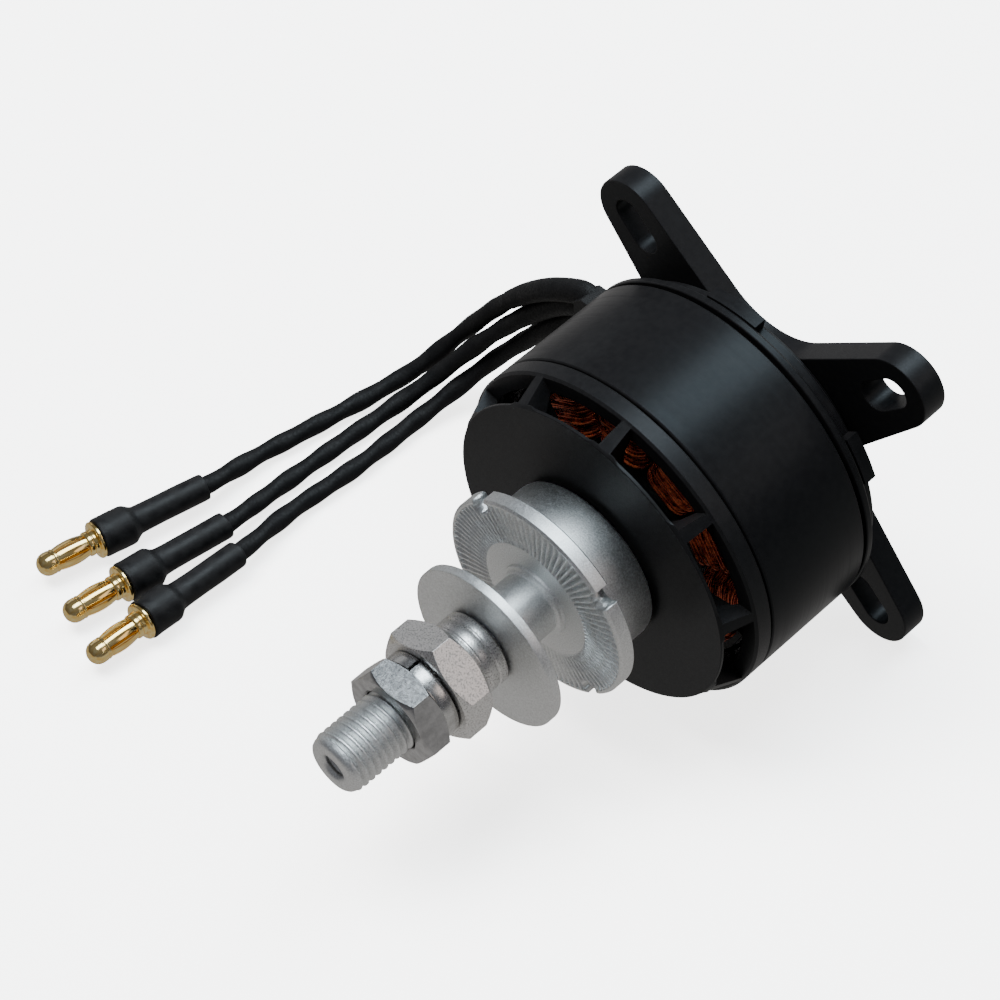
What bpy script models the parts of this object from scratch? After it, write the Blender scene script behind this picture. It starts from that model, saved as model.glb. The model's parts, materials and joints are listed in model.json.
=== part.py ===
"""Brushless outrunner motor lying on its side, with three bullet-plug leads.

Lengths in the constants are millimetres, and angles are degrees. The functions that make meshes turn
them into metres. The motor is drawn along its own shaft axis, local +Z forward, and one tilted frame
lays it down: it rests on its two lower arms and on the front edge of its cap ring.
"""
import math

import bmesh
import bpy
from mathutils import Vector

MM = 0.001
GAP = 0.3
SIDES = 36
SHARP_ANGLE = 30
PAST = 1.0  # how far a cutting tool runs past the faces that it cuts
WELD_DISTANCE = 1e-6  # in metres

# Rear mount
MOUNT_THICKNESS = 4.5
ARM_RADIUS = 36.5
ARM_TIP = 6.0
ARM_TAPER = 6.7
HUB_RADIUS = 16.6
SLOT_WIDTH = 5.0
SLOT_TRAVEL = 4.4
SHAFT_HOLE = 7.5
ARM_ANGLES = (45, 135, 225, 315)

# Screws through the rear mount into the base ring
SCREW_CIRCLE = 14.0
SCREW_SHANK = 1.4
SCREW_HEAD = 2.7
SCREW_HEAD_SPAN = (0.3, 2.1)
SCREW_HEAD_CHAMFER = 0.5
SCREW_END = 6.4
SCREW_HOLE = 1.8
POCKET_RADIUS = 3.1
POCKET_DEPTH = 2.4

# Fixed base ring
BASE_BODY_RADIUS = 22.4
BASE_BODY_INNER = 20.8
BASE_RADIUS = 26.6
BASE_WALL_INNER = 25.6
BASE_FLOOR_FRONT = 6.8
BASE_LIP_SPAN = (7.6, 8.8)
BASE_SHOULDER = ((26.6, 9.6), (28.0, 9.9), (28.9, 10.6))
BASE_RIM_FRONT = 11.7
PAD_SPANS = ((81, 100), (22, 38), (261, 280), (202, 218))
PAD_INNER = 25.9
PAD_OUTER = 28.5
PAD_HEIGHTS = (7.75, 9.95)
VENT_INNER = 15.0
VENT_OUTER = 19.8
VENT_HALF_ANGLE = 24
VENT_ANGLES = (0, 90, 180, 270)

# Lead grommet, an outline seen along the shaft
GROMMET_OUTLINE = ((-27.4, -4.6), (-32.6, -4.6), (-33.5, -3.7), (-33.5, 4.8), (-32.4, 5.9), (-27.4, 5.9))
GROMMET_FRONT = 9.2
GROMMET_ROOT = ((-22.9, -4.6), (-27.5, -4.6), (-27.5, 5.9), (-22.9, 5.9))
GROMMET_ROOT_FRONT = 7.3

# Can and magnets
CAN_RADIUS = 28.9
CAN_BORE = 27.1
CAN_REAR = 12.3
CAN_FRONT = 32.3
CAN_CHAMFER = 0.3
POLES = 14
MAGNET_INNER = 25.1
MAGNET_HALF_ANGLE = 11

# Front cap
RING_FRONT = 35.8
RING_CHAMFER = 0.4
RING_STEP = 1.2
DISC_RADIUS = 26.4
DISC_FRONT = 40.65
DISC_THICKNESS = 1.4
DISC_EDGE = 0.3
CAP_HUB_RADIUS = 7.6
CAP_HUB_REAR = 34.2
CAP_SLOPE_INNER = 23.0
CAP_SLOPE_OUTER = 26.6
WINDOWS = 10
FIRST_SPOKE = 11.0
WINDOW_REACH = 31.0
WINDOW_UNDER_RADIUS = 21.5
SPOKE_HALF_INNER = 1.47
SPOKE_HALF_OUTER = 0.5
SPOKE_HALF_UNDER = 1.9
BLADE_HALF = 0.8
BLADE_INNER = 8.5
BLADE_OUTER = 25.6

# Stator
TEETH = 12
CORE_REAR = 14.0
CORE_FRONT = 31.0
CORE_RADIUS = 24.4
TOOTH_HALF = 2.0
TOOTH_ROOT = 15.0
TOOTH_NECK = 22.6
SHOE_EDGE = 23.3
SHOE_HALF_ANGLE = 13.6
INSULATOR_THICKNESS = 1.0
INSULATOR_INSET = 0.3
COIL_REAR = 10.4
COIL_FRONT = 35.3
COIL_CORNER = 2.0
COIL_HOLE_HALF = 2.35
COIL_HOLE_CORNER = 0.4
COIL_HOLE_SPARE = 1.6
# Radius, half width, and how far the ends are drawn in
COIL_STATIONS = ((15.8, 3.7, 1.0), (17.2, 4.2, 0.0), (20.6, 5.05, 0.0), (22.2, 5.2, 1.0))

# Bearing tube and bearings
TUBE_RADIUS = 11.6
TUBE_FRONT = 33.6
TUBE_STEP_BORE = 8.0
TUBE_STEPS = (10.6, 28.0)
BEARING_RADIUS = 9.2
BEARING_WIDTH = 5.0
BEARING_REARS = {"rear": 5.3, "front": 28.3}
OUTER_RING_INNER = 6.5
INNER_RING_OUTER = 6.0

# Shaft
SHAFT_RADIUS = 4.0
SHAFT_REAR = 1.2
SHAFT_FRONT = 46.2
SHAFT_CHAMFER = 0.5
RETAINER_RADIUS = 6.4
RETAINER_SPAN = (2.4, 3.4)

# Propeller adapter
BOSS_RADIUS = 13.8
BOSS_ROUNDING = 1.3
FLANGE_RADIUS = 17.5
FLANGE_REAR = 49.2
FLANGE_FRONT = 51.9
FLANGE_CHAMFER = 0.4
NOTCH_ANGLES = (40, 130, 220, 310)
NOTCH_CIRCLE = 16.6
NOTCH_RADIUS = 1.6
STUD_BORE_END = 46.6
SLEEVE_RADIUS = 5.2
SLEEVE_END = 60.8
SLEEVE_STEPS = ((6.2, 0.0), (6.0, 0.5), (5.5, 0.6), (5.2, 1.0))
STUD_CORE = 4.7
STUD_CORE_SPAN = (61.3, 80.9)
THREAD_RADIUS = 5.0
THREAD_PITCH = 1.25
THREAD_DEPTH = 0.61 * THREAD_PITCH
THREAD_SPAN = (81.4, 91.6)
STUD_TIP = 92.7
STUD_TIP_RADIUS = 4.1
TIP_CHAMFER = (0.4, 0.6)
END_HOLE = 2.1
END_HOLE_MOUTH = 2.7
END_HOLE_FLOOR = 81.0
END_HOLE_POINT = 80.2

# Washers and nuts, rear face to front face
WASHER_SPAN = (61.6, 63.2)
WASHER_RADIUS = 14.0
WASHER_BORE = 6.0
WASHER_CHAMFER = 0.2
WASHER_OFFSET = (0.79, -0.42)
NUT_BORE = THREAD_RADIUS + 0.05
NUT_CHAMFER_ANGLE = 30
COLLAR_REAR = 63.5
COLLAR_RADIUS = 6.25
COLLAR_CHAMFER = 0.3
NUT_SPAN = (68.9, 74.3)
NUT_FLATS = 16.6
NUT_TURN = 23.0
SPRING_SPAN = (74.6, 76.6)
SPRING_INNER = 5.3
SPRING_OUTER = 7.1
SPRING_SPLIT = (91.0, 96.0)
LOCK_NUT_SPAN = (76.9, 81.7)
LOCK_NUT_FLATS = 15.0
LOCK_NUT_TURN = 56.0

# Leads and plugs, in the frame of the surface that the motor lies on
LEAD_RADIUS = 1.45
LEAD_SPACING = 5.0
CURVE_STEPS = 20  # steps of the smooth curve between two points of a route
PLUG_HEIGHT = 3.45
PLUG_LENGTH = 30.5
LEAD_STARTS = (16.3, 22.0, 31.0)
PIN_RADIUS = 2.0
# Radius and distance from the nose
PLUG_PROFILE = ((0, 0), (0.9, 0.15), (1.5, 0.6), (1.9, 1.4), (1.9, 2.4), (1.75, 2.6), (PIN_RADIUS, 4.2),
                (PIN_RADIUS + 0.05, 5.4), (PIN_RADIUS, 6.8), (1.75, 8.8), (2.1, 9.0), (2.1, 10.0),
                (2.9, 10.1), (3.1, 10.3), (3.1, 10.7), (2.4, 10.7), (2.4, 16.0), (0, 16.0))
SLEEVE_PROFILE = ((2.75, 11.0), (3.35, 11.0), (3.35, 15.8), (2.9, 17.0), (2.3, 18.6), (2.25, PLUG_LENGTH),
                  (1.8, PLUG_LENGTH), (1.8, 18.2), (2.75, 16.4))
PLUGS = {
    "a": ((-71.8, -43.6), (-66.9, -13.3)),
    "b": ((-61.5, -46.8), (-58.5, -16.9)),
    "c": ((-52.5, -49.6), (-52.6, -18.4)),
}
ROUTES = {
    "a": [(-67.0, -2.0, 2.0), (-65.9, 8.0, 1.8), (-64.2, 21.0, 2.0), (-61.6, 29.5, 4.8),
          (-58.2, 34.6, 10.5), (-52.4, 37.2, 19.2), (-46.6, 37.4, 26.2), (-40.5, 37.2, 31.8),
          (-34.3, 37.4, 35.4)],
    "b": [(-59.6, -4.0, 2.0), (-59.9, 9.0, 1.8), (-59.8, 19.0, 2.0), (-58.0, 27.5, 4.8),
          (-54.6, 33.2, 10.4), (-50.0, 36.6, 16.8), (-44.6, 38.3, 23.2), (-39.6, 38.8, 28.2),
          (-34.3, 38.4, 31.9)],
    "c": [(-54.4, -6.0, 2.0), (-54.4, 8.9, 1.8), (-55.0, 22.0, 2.0), (-53.9, 31.0, 4.6),
          (-50.7, 36.4, 9.8), (-45.7, 38.9, 16.4), (-41.5, 39.6, 21.4), (-38.0, 40.0, 25.0),
          (-34.3, 39.8, 28.6)],
}

# The lie of the motor: two lower arms and the front edge of the cap ring touch the surface
ARM_REACH = ARM_RADIUS * math.sin(math.radians(ARM_ANGLES[0])) + ARM_TIP
TILT = math.atan2(ARM_REACH - CAN_RADIUS, RING_FRONT - RING_CHAMFER - MOUNT_THICKNESS)
AXIS_HEIGHT = ARM_REACH * math.cos(TILT) + MOUNT_THICKNESS * math.sin(TILT)
FRONT_REACH = STUD_TIP * math.cos(TILT) - STUD_TIP_RADIUS * math.sin(TILT)
AXIS_SHIFT = (FRONT_REACH - ARM_REACH * math.sin(TILT)) / 2


def remove_startup_objects():
    for item in list(bpy.data.objects):
        bpy.data.objects.remove(item, do_unlink=True)


def material(name, color, roughness, metallic):
    found = bpy.data.materials.get(name)
    if found:
        return found
    made = bpy.data.materials.new(name)
    made.use_nodes = True
    shader = made.node_tree.nodes["Principled BSDF"]
    shader.inputs["Base Color"].default_value = (*color, 1.0)
    shader.inputs["Roughness"].default_value = roughness
    shader.inputs["Metallic"].default_value = metallic
    return made


def black_metal():
    return material("black_anodised", (0.022, 0.023, 0.025), 0.42, 0.85)


def silver_metal():
    return material("blasted_silver", (0.62, 0.63, 0.64), 0.38, 1.0)


def steel():
    return material("plated_steel", (0.50, 0.50, 0.50), 0.30, 1.0)


def copper():
    return material("enamelled_copper", (0.50, 0.14, 0.05), 0.35, 0.9)


def gold():
    return material("gold_plate", (0.90, 0.62, 0.22), 0.18, 1.0)


def black_sleeve():
    return material("black_sleeve", (0.02, 0.02, 0.022), 0.75, 0.0)


def insulation():
    return material("insulation", (0.05, 0.05, 0.05), 0.6, 0.0)


def finish(mesh_data, name, parent, surface, smooth):
    bmesh.ops.recalc_face_normals(mesh_data, faces=mesh_data.faces)
    mesh = bpy.data.meshes.new(name)
    mesh_data.to_mesh(mesh)
    mesh_data.free()
    if smooth:
        mesh.shade_smooth()
        mesh.set_sharp_from_angle(angle=math.radians(SHARP_ANGLE))
    item = bpy.data.objects.new(name, mesh)
    bpy.context.scene.collection.objects.link(item)
    item.parent = parent
    if surface:
        mesh.materials.append(surface)
    return item


def turned(name, profile, parent, surface, closed=True, sides=SIDES):
    """Turn (radius, height) points about local Z. An open profile starts and ends on the axis."""
    shape = bmesh.new()
    points = [shape.verts.new((radius * MM, 0.0, height * MM)) for radius, height in profile]
    edges = [shape.edges.new(pair) for pair in zip(points, points[1:])]
    if closed:
        edges.append(shape.edges.new((points[-1], points[0])))
    bmesh.ops.spin(shape, geom=points + edges, angle=math.tau, steps=sides,
                   axis=(0, 0, 1), cent=(0, 0, 0))
    bmesh.ops.remove_doubles(shape, verts=shape.verts, dist=WELD_DISTANCE)
    return finish(shape, name, parent, surface, True)


def raise_outline(shape, outline, low, high):
    """Raise a flat outline of (x, y) points from one height to another."""
    verts = [shape.verts.new((x * MM, y * MM, low * MM)) for x, y in outline]
    raised = bmesh.ops.extrude_face_region(shape, geom=[shape.faces.new(verts)])
    top = [item for item in raised["geom"] if isinstance(item, bmesh.types.BMVert)]
    bmesh.ops.translate(shape, verts=top, vec=(0, 0, (high - low) * MM))


def extruded(name, outline, low, high, parent, surface, smooth=True):
    shape = bmesh.new()
    raise_outline(shape, outline, low, high)
    return finish(shape, name, parent, surface, smooth)


def prisms(name, outlines, low, high, parent):
    """One cutting tool made of several separate prisms."""
    shape = bmesh.new()
    for outline in outlines:
        raise_outline(shape, outline, low, high)
    return finish(shape, name, parent, None, False)


def cut(item, tool, operation="DIFFERENCE"):
    tool.hide_render = True
    tool.display_type = "WIRE"
    change = item.modifiers.new(tool.name, "BOOLEAN")
    change.operation = operation
    change.object = tool
    change.solver = "EXACT"


def polar(radius, degrees):
    turn = math.radians(degrees)
    return radius * math.cos(turn), radius * math.sin(turn)


def arc(center, radius, start, end, steps):
    """Points on an arc, from one angle to another, with both ends."""
    points = []
    for step in range(steps + 1):
        x, y = polar(radius, start + (end - start) * step / steps)
        points.append((center[0] + x, center[1] + y))
    return points


def ring_sector(inner, outer, start, end, steps=6):
    return arc((0, 0), outer, start, end, steps) + arc((0, 0), inner, end, start, steps)


def circle(center, radius, sides=24):
    return arc(center, radius, 0, 360 * (sides - 1) / sides, sides - 1)


def stadium(angle, inner, outer, half_width):
    """A slot outline along a ray at an angle, between two arc centres."""
    return (arc(polar(outer, angle), half_width, angle - 90, angle + 90, 6)
            + arc(polar(inner, angle), half_width, angle + 90, angle + 270, 6))


def mount_outline():
    """X outline: each arm's sides taper to a round tip, and an arc joins each pair of arms."""
    taper = math.radians(ARM_TAPER)
    lean = (math.sin(taper) + math.cos(taper)) / math.sqrt(2)
    side = ARM_RADIUS * math.sin(taper) + ARM_TIP
    fillet = (HUB_RADIUS * lean - side) / (1 - lean)
    square = 90 - ARM_TAPER
    points = []
    for angle in ARM_ANGLES:
        points += arc(polar(ARM_RADIUS, angle), ARM_TIP, angle - square, angle + square, 8)
        center = polar(HUB_RADIUS + fillet, angle + 45)
        points += arc(center, fillet, angle - 90 - ARM_TAPER, angle - 180 + ARM_TAPER, 7)
    return points


def screw_holes():
    return [circle(polar(SCREW_CIRCLE, angle), SCREW_HOLE, 10) for angle in ARM_ANGLES]


def make_rear_mount(frame):
    mount = extruded("rear_mount", mount_outline(), 0, MOUNT_THICKNESS, frame, black_metal())
    slot_inner = ARM_RADIUS - SLOT_TRAVEL
    openings = [stadium(angle, slot_inner, ARM_RADIUS, SLOT_WIDTH / 2) for angle in ARM_ANGLES]
    openings += screw_holes()
    openings.append(circle((0, 0), SHAFT_HOLE, 20))
    cut(mount, prisms("mount_openings", openings, -PAST, MOUNT_THICKNESS + PAST, frame))
    pockets = [circle(polar(SCREW_CIRCLE, angle), POCKET_RADIUS, 12) for angle in ARM_ANGLES]
    cut(mount, prisms("mount_pockets", pockets, -PAST, POCKET_DEPTH, frame))


def make_mount_screws(frame):
    back, shoulder = SCREW_HEAD_SPAN
    profile = [(0, back), (SCREW_HEAD - SCREW_HEAD_CHAMFER, back), (SCREW_HEAD, back + SCREW_HEAD_CHAMFER),
               (SCREW_HEAD, shoulder), (SCREW_SHANK, shoulder), (SCREW_SHANK, SCREW_END), (0, SCREW_END)]
    for number, angle in enumerate(ARM_ANGLES, 1):
        screw = turned(f"mount_screw_{number}", profile, frame, steel(), False, 10)
        screw.location = (*[value * MM for value in polar(SCREW_CIRCLE, angle)], 0)


def make_base(frame):
    """A cup behind the windings, and a wider lip with a shoulder that the can turns in front of."""
    low = MOUNT_THICKNESS + GAP
    bore = TUBE_RADIUS + GAP
    lip_rear, lip_front = BASE_LIP_SPAN
    base = turned("base_ring", [(bore, low), (BASE_BODY_RADIUS, low), (BASE_BODY_RADIUS, lip_rear),
                  (BASE_RADIUS, lip_rear), *BASE_SHOULDER, (CAN_RADIUS, BASE_RIM_FRONT),
                  (BASE_WALL_INNER, BASE_RIM_FRONT), (BASE_WALL_INNER, lip_front),
                  (BASE_BODY_INNER, lip_front), (BASE_BODY_INNER, BASE_FLOOR_FRONT),
                  (bore, BASE_FLOOR_FRONT)], frame, black_metal())
    pads = [ring_sector(PAD_INNER, PAD_OUTER, start, end) for start, end in PAD_SPANS]
    cut(base, prisms("base_pads", pads, *PAD_HEIGHTS, frame), "UNION")
    openings = [ring_sector(VENT_INNER, VENT_OUTER, angle - VENT_HALF_ANGLE, angle + VENT_HALF_ANGLE, 8)
                for angle in VENT_ANGLES]
    openings += screw_holes()
    cut(base, prisms("base_openings", openings, low - PAST, BASE_FLOOR_FRONT + PAST / 2, frame))


def make_bearings(fixed, rotor):
    bore = SHAFT_RADIUS + GAP
    for name, low in BEARING_REARS.items():
        high = low + BEARING_WIDTH
        turned(f"bearing_{name}_outer", [(OUTER_RING_INNER, low), (BEARING_RADIUS, low),
               (BEARING_RADIUS, high), (OUTER_RING_INNER, high)], fixed, steel(), True, 20)
        turned(f"bearing_{name}_inner", [(bore, low), (INNER_RING_OUTER, low),
               (INNER_RING_OUTER, high), (bore, high)], rotor, steel(), True, 20)


def make_bearing_tube(frame):
    bore = BEARING_RADIUS + GAP
    rear = MOUNT_THICKNESS + GAP
    rear_step, front_step = TUBE_STEPS
    turned("bearing_tube", [(bore, rear), (TUBE_RADIUS, rear), (TUBE_RADIUS, TUBE_FRONT),
           (bore, TUBE_FRONT), (bore, front_step), (TUBE_STEP_BORE, front_step),
           (TUBE_STEP_BORE, rear_step), (bore, rear_step)], frame, black_metal(), True, 24)


def tooth_outline(inset):
    """Twelve T-shaped teeth around a hub, drawn in all round by an inset."""
    neck = TOOTH_HALF - inset
    root_turn = math.degrees(math.asin(neck / TOOTH_ROOT))
    neck_turn = math.degrees(math.asin(neck / TOOTH_NECK))
    shoe_turn = SHOE_HALF_ANGLE - math.degrees(inset / CORE_RADIUS)
    points = []
    for tooth in range(TEETH):
        angle = 360 * tooth / TEETH
        points.append(polar(TOOTH_ROOT, angle - root_turn))
        points.append(polar(TOOTH_NECK, angle - neck_turn))
        points.append(polar(SHOE_EDGE - inset, angle - shoe_turn))
        points += arc((0, 0), CORE_RADIUS - inset, angle - shoe_turn, angle + shoe_turn, 2)
        points.append(polar(SHOE_EDGE - inset, angle + shoe_turn))
        points.append(polar(TOOTH_NECK, angle + neck_turn))
        points.append(polar(TOOTH_ROOT, angle + root_turn))
    return points


def make_stator(frame):
    bore = circle((0, 0), TUBE_RADIUS + GAP, 24)
    rear = CORE_REAR - GAP
    front = CORE_FRONT + GAP
    layers = (("stator_core", 0.0, CORE_REAR, CORE_FRONT, steel()),
              ("insulator_rear", INSULATOR_INSET, rear - INSULATOR_THICKNESS, rear, insulation()),
              ("insulator_front", INSULATOR_INSET, front, front + INSULATOR_THICKNESS, insulation()))
    for name, inset, low, high, surface in layers:
        layer = extruded(name, tooth_outline(inset), low, high, frame, surface, False)
        cut(layer, prisms(f"{name}_bore", [bore], low - PAST, high + PAST, frame))


def rounded_loop(half_width, low, high, corner):
    """Rounded rectangle in (sideways, along the shaft), as the path round one tooth."""
    points = []
    for x, z, start in ((1, 1, 0), (-1, 1, 90), (-1, -1, 180), (1, -1, 270)):
        center = (x * (half_width - corner), (high if z > 0 else low) - z * corner)
        points += arc(center, corner, start, start + 90, 2)
    return points


def coil_mesh():
    """A wedge-shaped ring round one tooth, from the hub out to the shoe."""
    shape = bmesh.new()
    hole = rounded_loop(COIL_HOLE_HALF, CORE_REAR - COIL_HOLE_SPARE, CORE_FRONT + COIL_HOLE_SPARE,
                        COIL_HOLE_CORNER)
    sections = [(radius, rounded_loop(half, COIL_REAR + end, COIL_FRONT - end, COIL_CORNER))
                for radius, half, end in COIL_STATIONS]
    sections.append((COIL_STATIONS[-1][0], hole))
    sections.append((COIL_STATIONS[0][0], hole))
    loops = [[shape.verts.new((radius * MM, x * MM, z * MM)) for x, z in outline]
             for radius, outline in sections]
    for near, far in zip(loops, loops[1:] + loops[:1]):
        for here in range(len(near)):
            there = (here + 1) % len(near)
            shape.faces.new((near[here], near[there], far[there], far[here]))
    return shape


def make_coils(frame):
    for number in range(TEETH):
        coil = finish(coil_mesh(), f"coil_{number + 1:02d}", frame, copper(), True)
        coil.rotation_euler = (0, 0, math.radians(360 * number / TEETH))


def make_grommet(frame):
    """A block outside the lip, with a root that runs in under the lip to the cup."""
    low = MOUNT_THICKNESS + GAP
    grommet = extruded("lead_grommet", GROMMET_OUTLINE, low, GROMMET_FRONT, frame, black_sleeve(), False)
    cut(grommet, prisms("grommet_root", [GROMMET_ROOT], low, GROMMET_ROOT_FRONT, frame), "UNION")


def make_can(rotor):
    turned("rotor_can", [(CAN_BORE, CAN_REAR), (CAN_RADIUS - CAN_CHAMFER, CAN_REAR),
           (CAN_RADIUS, CAN_REAR + CAN_CHAMFER), (CAN_RADIUS, CAN_FRONT), (CAN_BORE, CAN_FRONT)],
           rotor, black_metal(), True, 48)


def make_magnets(rotor):
    for number in range(POLES):
        middle = 360 * number / POLES
        outline = ring_sector(MAGNET_INNER, CAN_BORE - GAP, middle - MAGNET_HALF_ANGLE,
                              middle + MAGNET_HALF_ANGLE, 2)
        extruded(f"magnet_{number + 1:02d}", outline, CORE_REAR, CORE_FRONT, rotor, steel())


def window_sector(number, inner, inner_half, outer_half):
    """Opening between two spokes, whose half widths differ at the inner and outer radius."""
    middle = FIRST_SPOKE + 360 * (number + 0.5) / WINDOWS
    inner_turn = 180 / WINDOWS - math.degrees(math.asin(inner_half / inner))
    outer_turn = 180 / WINDOWS - math.degrees(math.asin(outer_half / WINDOW_REACH))
    return (arc((0, 0), WINDOW_REACH, middle - outer_turn, middle + outer_turn, 4)
            + arc((0, 0), inner, middle + inner_turn, middle - inner_turn, 4))


def blade_outline(angle):
    """A fan blade behind the disc, straight along one ray."""
    along = Vector(polar(1, angle))
    across = Vector(polar(1, angle + 90)) * BLADE_HALF
    corners = ((BLADE_INNER, -1), (BLADE_OUTER, -1), (BLADE_OUTER, 1), (BLADE_INNER, 1))
    return [tuple(along * far + across * side) for far, side in corners]


def make_front_cap(rotor):
    back = DISC_FRONT - DISC_THICKNESS
    bore = SHAFT_RADIUS + GAP
    cap = turned("front_cap", [
        (bore, CAP_HUB_REAR), (CAP_HUB_RADIUS, CAP_HUB_REAR), (CAP_HUB_RADIUS, back),
        (CAP_SLOPE_INNER, back), (CAP_SLOPE_OUTER, RING_FRONT - RING_STEP / 2),
        (CAN_BORE, RING_FRONT - RING_STEP), (CAN_BORE, CAN_FRONT + GAP), (CAN_RADIUS, CAN_FRONT + GAP),
        (CAN_RADIUS, RING_FRONT - RING_CHAMFER), (CAN_RADIUS - RING_CHAMFER, RING_FRONT),
        (DISC_RADIUS + DISC_EDGE, DISC_FRONT - RING_CHAMFER), (DISC_RADIUS - DISC_EDGE, DISC_FRONT),
        (bore, DISC_FRONT)], rotor, black_metal(), True, 40)
    blades = [blade_outline(FIRST_SPOKE + 360 * number / WINDOWS) for number in range(WINDOWS)]
    cut(cap, prisms("cap_blades", blades, COIL_FRONT + PAST, back + DISC_THICKNESS / 2, rotor), "UNION")
    fronts = [window_sector(number, DISC_RADIUS, SPOKE_HALF_INNER, SPOKE_HALF_OUTER)
              for number in range(WINDOWS)]
    cut(cap, prisms("cap_window_fronts", fronts, RING_FRONT, DISC_FRONT + PAST, rotor))
    unders = [window_sector(number, WINDOW_UNDER_RADIUS, SPOKE_HALF_UNDER, SPOKE_HALF_OUTER)
              for number in range(WINDOWS)]
    cut(cap, prisms("cap_window_unders", unders, RING_FRONT, back, rotor))


def make_shaft(rotor):
    inner = SHAFT_RADIUS - SHAFT_CHAMFER
    turned("shaft", [(0, SHAFT_REAR), (inner, SHAFT_REAR), (SHAFT_RADIUS, SHAFT_REAR + SHAFT_CHAMFER),
           (SHAFT_RADIUS, SHAFT_FRONT - SHAFT_CHAMFER), (inner, SHAFT_FRONT), (0, SHAFT_FRONT)],
           rotor, steel(), False, 20)
    low, high = RETAINER_SPAN
    bore = SHAFT_RADIUS + GAP
    turned("retaining_ring", [(bore, low), (RETAINER_RADIUS, low), (RETAINER_RADIUS, high), (bore, high)],
           rotor, steel(), True, 20)


def thread_profile():
    """V-shaped ring grooves, rear to front."""
    root = THREAD_RADIUS - THREAD_DEPTH
    height, end = THREAD_SPAN
    points = [(root, height)]
    while height + THREAD_PITCH <= end:
        points.append((THREAD_RADIUS, height + THREAD_PITCH / 2))
        height += THREAD_PITCH
        points.append((root, height))
    return points


def make_adapter(rotor):
    rear = DISC_FRONT + GAP
    bore = SHAFT_RADIUS + GAP
    rounding = arc((BOSS_RADIUS - BOSS_ROUNDING, rear + BOSS_ROUNDING), BOSS_ROUNDING, -90, 0, 3)
    flange = [(BOSS_RADIUS, FLANGE_REAR), (FLANGE_RADIUS - FLANGE_CHAMFER, FLANGE_REAR),
              (FLANGE_RADIUS, FLANGE_REAR + FLANGE_CHAMFER), (FLANGE_RADIUS, FLANGE_FRONT - FLANGE_CHAMFER),
              (FLANGE_RADIUS - FLANGE_CHAMFER, FLANGE_FRONT)]
    steps = [(radius, FLANGE_FRONT + rise) for radius, rise in SLEEVE_STEPS]
    core_rear, core_front = STUD_CORE_SPAN
    widening, drop = TIP_CHAMFER
    tip = [(STUD_TIP_RADIUS + widening, STUD_TIP - drop), (STUD_TIP_RADIUS, STUD_TIP),
           (END_HOLE_MOUTH, STUD_TIP), (END_HOLE, STUD_TIP - drop), (END_HOLE, END_HOLE_FLOOR),
           (0, END_HOLE_POINT)]
    profile = [(0, STUD_BORE_END), (bore, STUD_BORE_END), (bore, rear), *rounding, *flange, *steps,
               (SLEEVE_RADIUS, SLEEVE_END), (STUD_CORE, core_rear), (STUD_CORE, core_front),
               *thread_profile(), *tip]
    adapter = turned("prop_adapter", profile, rotor, silver_metal(), False, 28)
    notches = [circle(polar(NOTCH_CIRCLE, angle), NOTCH_RADIUS, 12) for angle in NOTCH_ANGLES]
    cut(adapter, prisms("flange_notches", notches, FLANGE_REAR - PAST, FLANGE_FRONT + PAST, rotor))


def make_washer(rotor):
    low, high = WASHER_SPAN
    washer = turned("prop_washer", [(WASHER_BORE, low), (WASHER_RADIUS, low),
                    (WASHER_RADIUS, high - WASHER_CHAMFER), (WASHER_RADIUS - WASHER_CHAMFER, high),
                    (WASHER_BORE, high)], rotor, silver_metal())
    washer.location = (WASHER_OFFSET[0] * MM, WASHER_OFFSET[1] * MM, 0)


def corner_radius(flats):
    return flats / 2 / math.cos(math.radians(30))


def hexagon(name, flats, turn, span, rotor):
    outline = [polar(corner_radius(flats), turn + 60 * corner) for corner in range(6)]
    return prisms(name, [outline], span[0], span[1], rotor)


def nut_profile(span, flats):
    """Outer side of a nut, rear to front, with its chamfers. It stands just clear of the corners."""
    low, high = span
    corner = corner_radius(flats) + 0.05
    face = flats / 2 - 0.1
    drop = (corner - face) * math.tan(math.radians(NUT_CHAMFER_ANGLE))
    return [(face, low), (corner, low + drop), (corner, high - drop), (face, high)]


def make_nuts(rotor):
    collar = [(NUT_BORE, COLLAR_REAR), (COLLAR_RADIUS - COLLAR_CHAMFER, COLLAR_REAR),
              (COLLAR_RADIUS, COLLAR_REAR + COLLAR_CHAMFER), (COLLAR_RADIUS, NUT_SPAN[0])]
    nut = turned("prop_nut", collar + nut_profile(NUT_SPAN, NUT_FLATS) + [(NUT_BORE, NUT_SPAN[1])],
                 rotor, steel(), True, 24)
    sides = (COLLAR_REAR - PAST, NUT_SPAN[1] + PAST)
    cut(nut, hexagon("prop_nut_sides", NUT_FLATS, NUT_TURN, sides, rotor), "INTERSECT")
    lock = turned("lock_nut", [(NUT_BORE, LOCK_NUT_SPAN[0])] + nut_profile(LOCK_NUT_SPAN, LOCK_NUT_FLATS)
                  + [(NUT_BORE, LOCK_NUT_SPAN[1])], rotor, steel(), True, 24)
    sides = (LOCK_NUT_SPAN[0] - PAST, LOCK_NUT_SPAN[1] + PAST)
    cut(lock, hexagon("lock_nut_sides", LOCK_NUT_FLATS, LOCK_NUT_TURN, sides, rotor), "INTERSECT")


def make_spring_washer(rotor):
    split_start, split_end = SPRING_SPLIT
    ring = ring_sector(SPRING_INNER, SPRING_OUTER, split_end, split_start + 360, 24)
    extruded("spring_washer", ring, SPRING_SPAN[0], SPRING_SPAN[1], rotor, steel())


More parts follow.
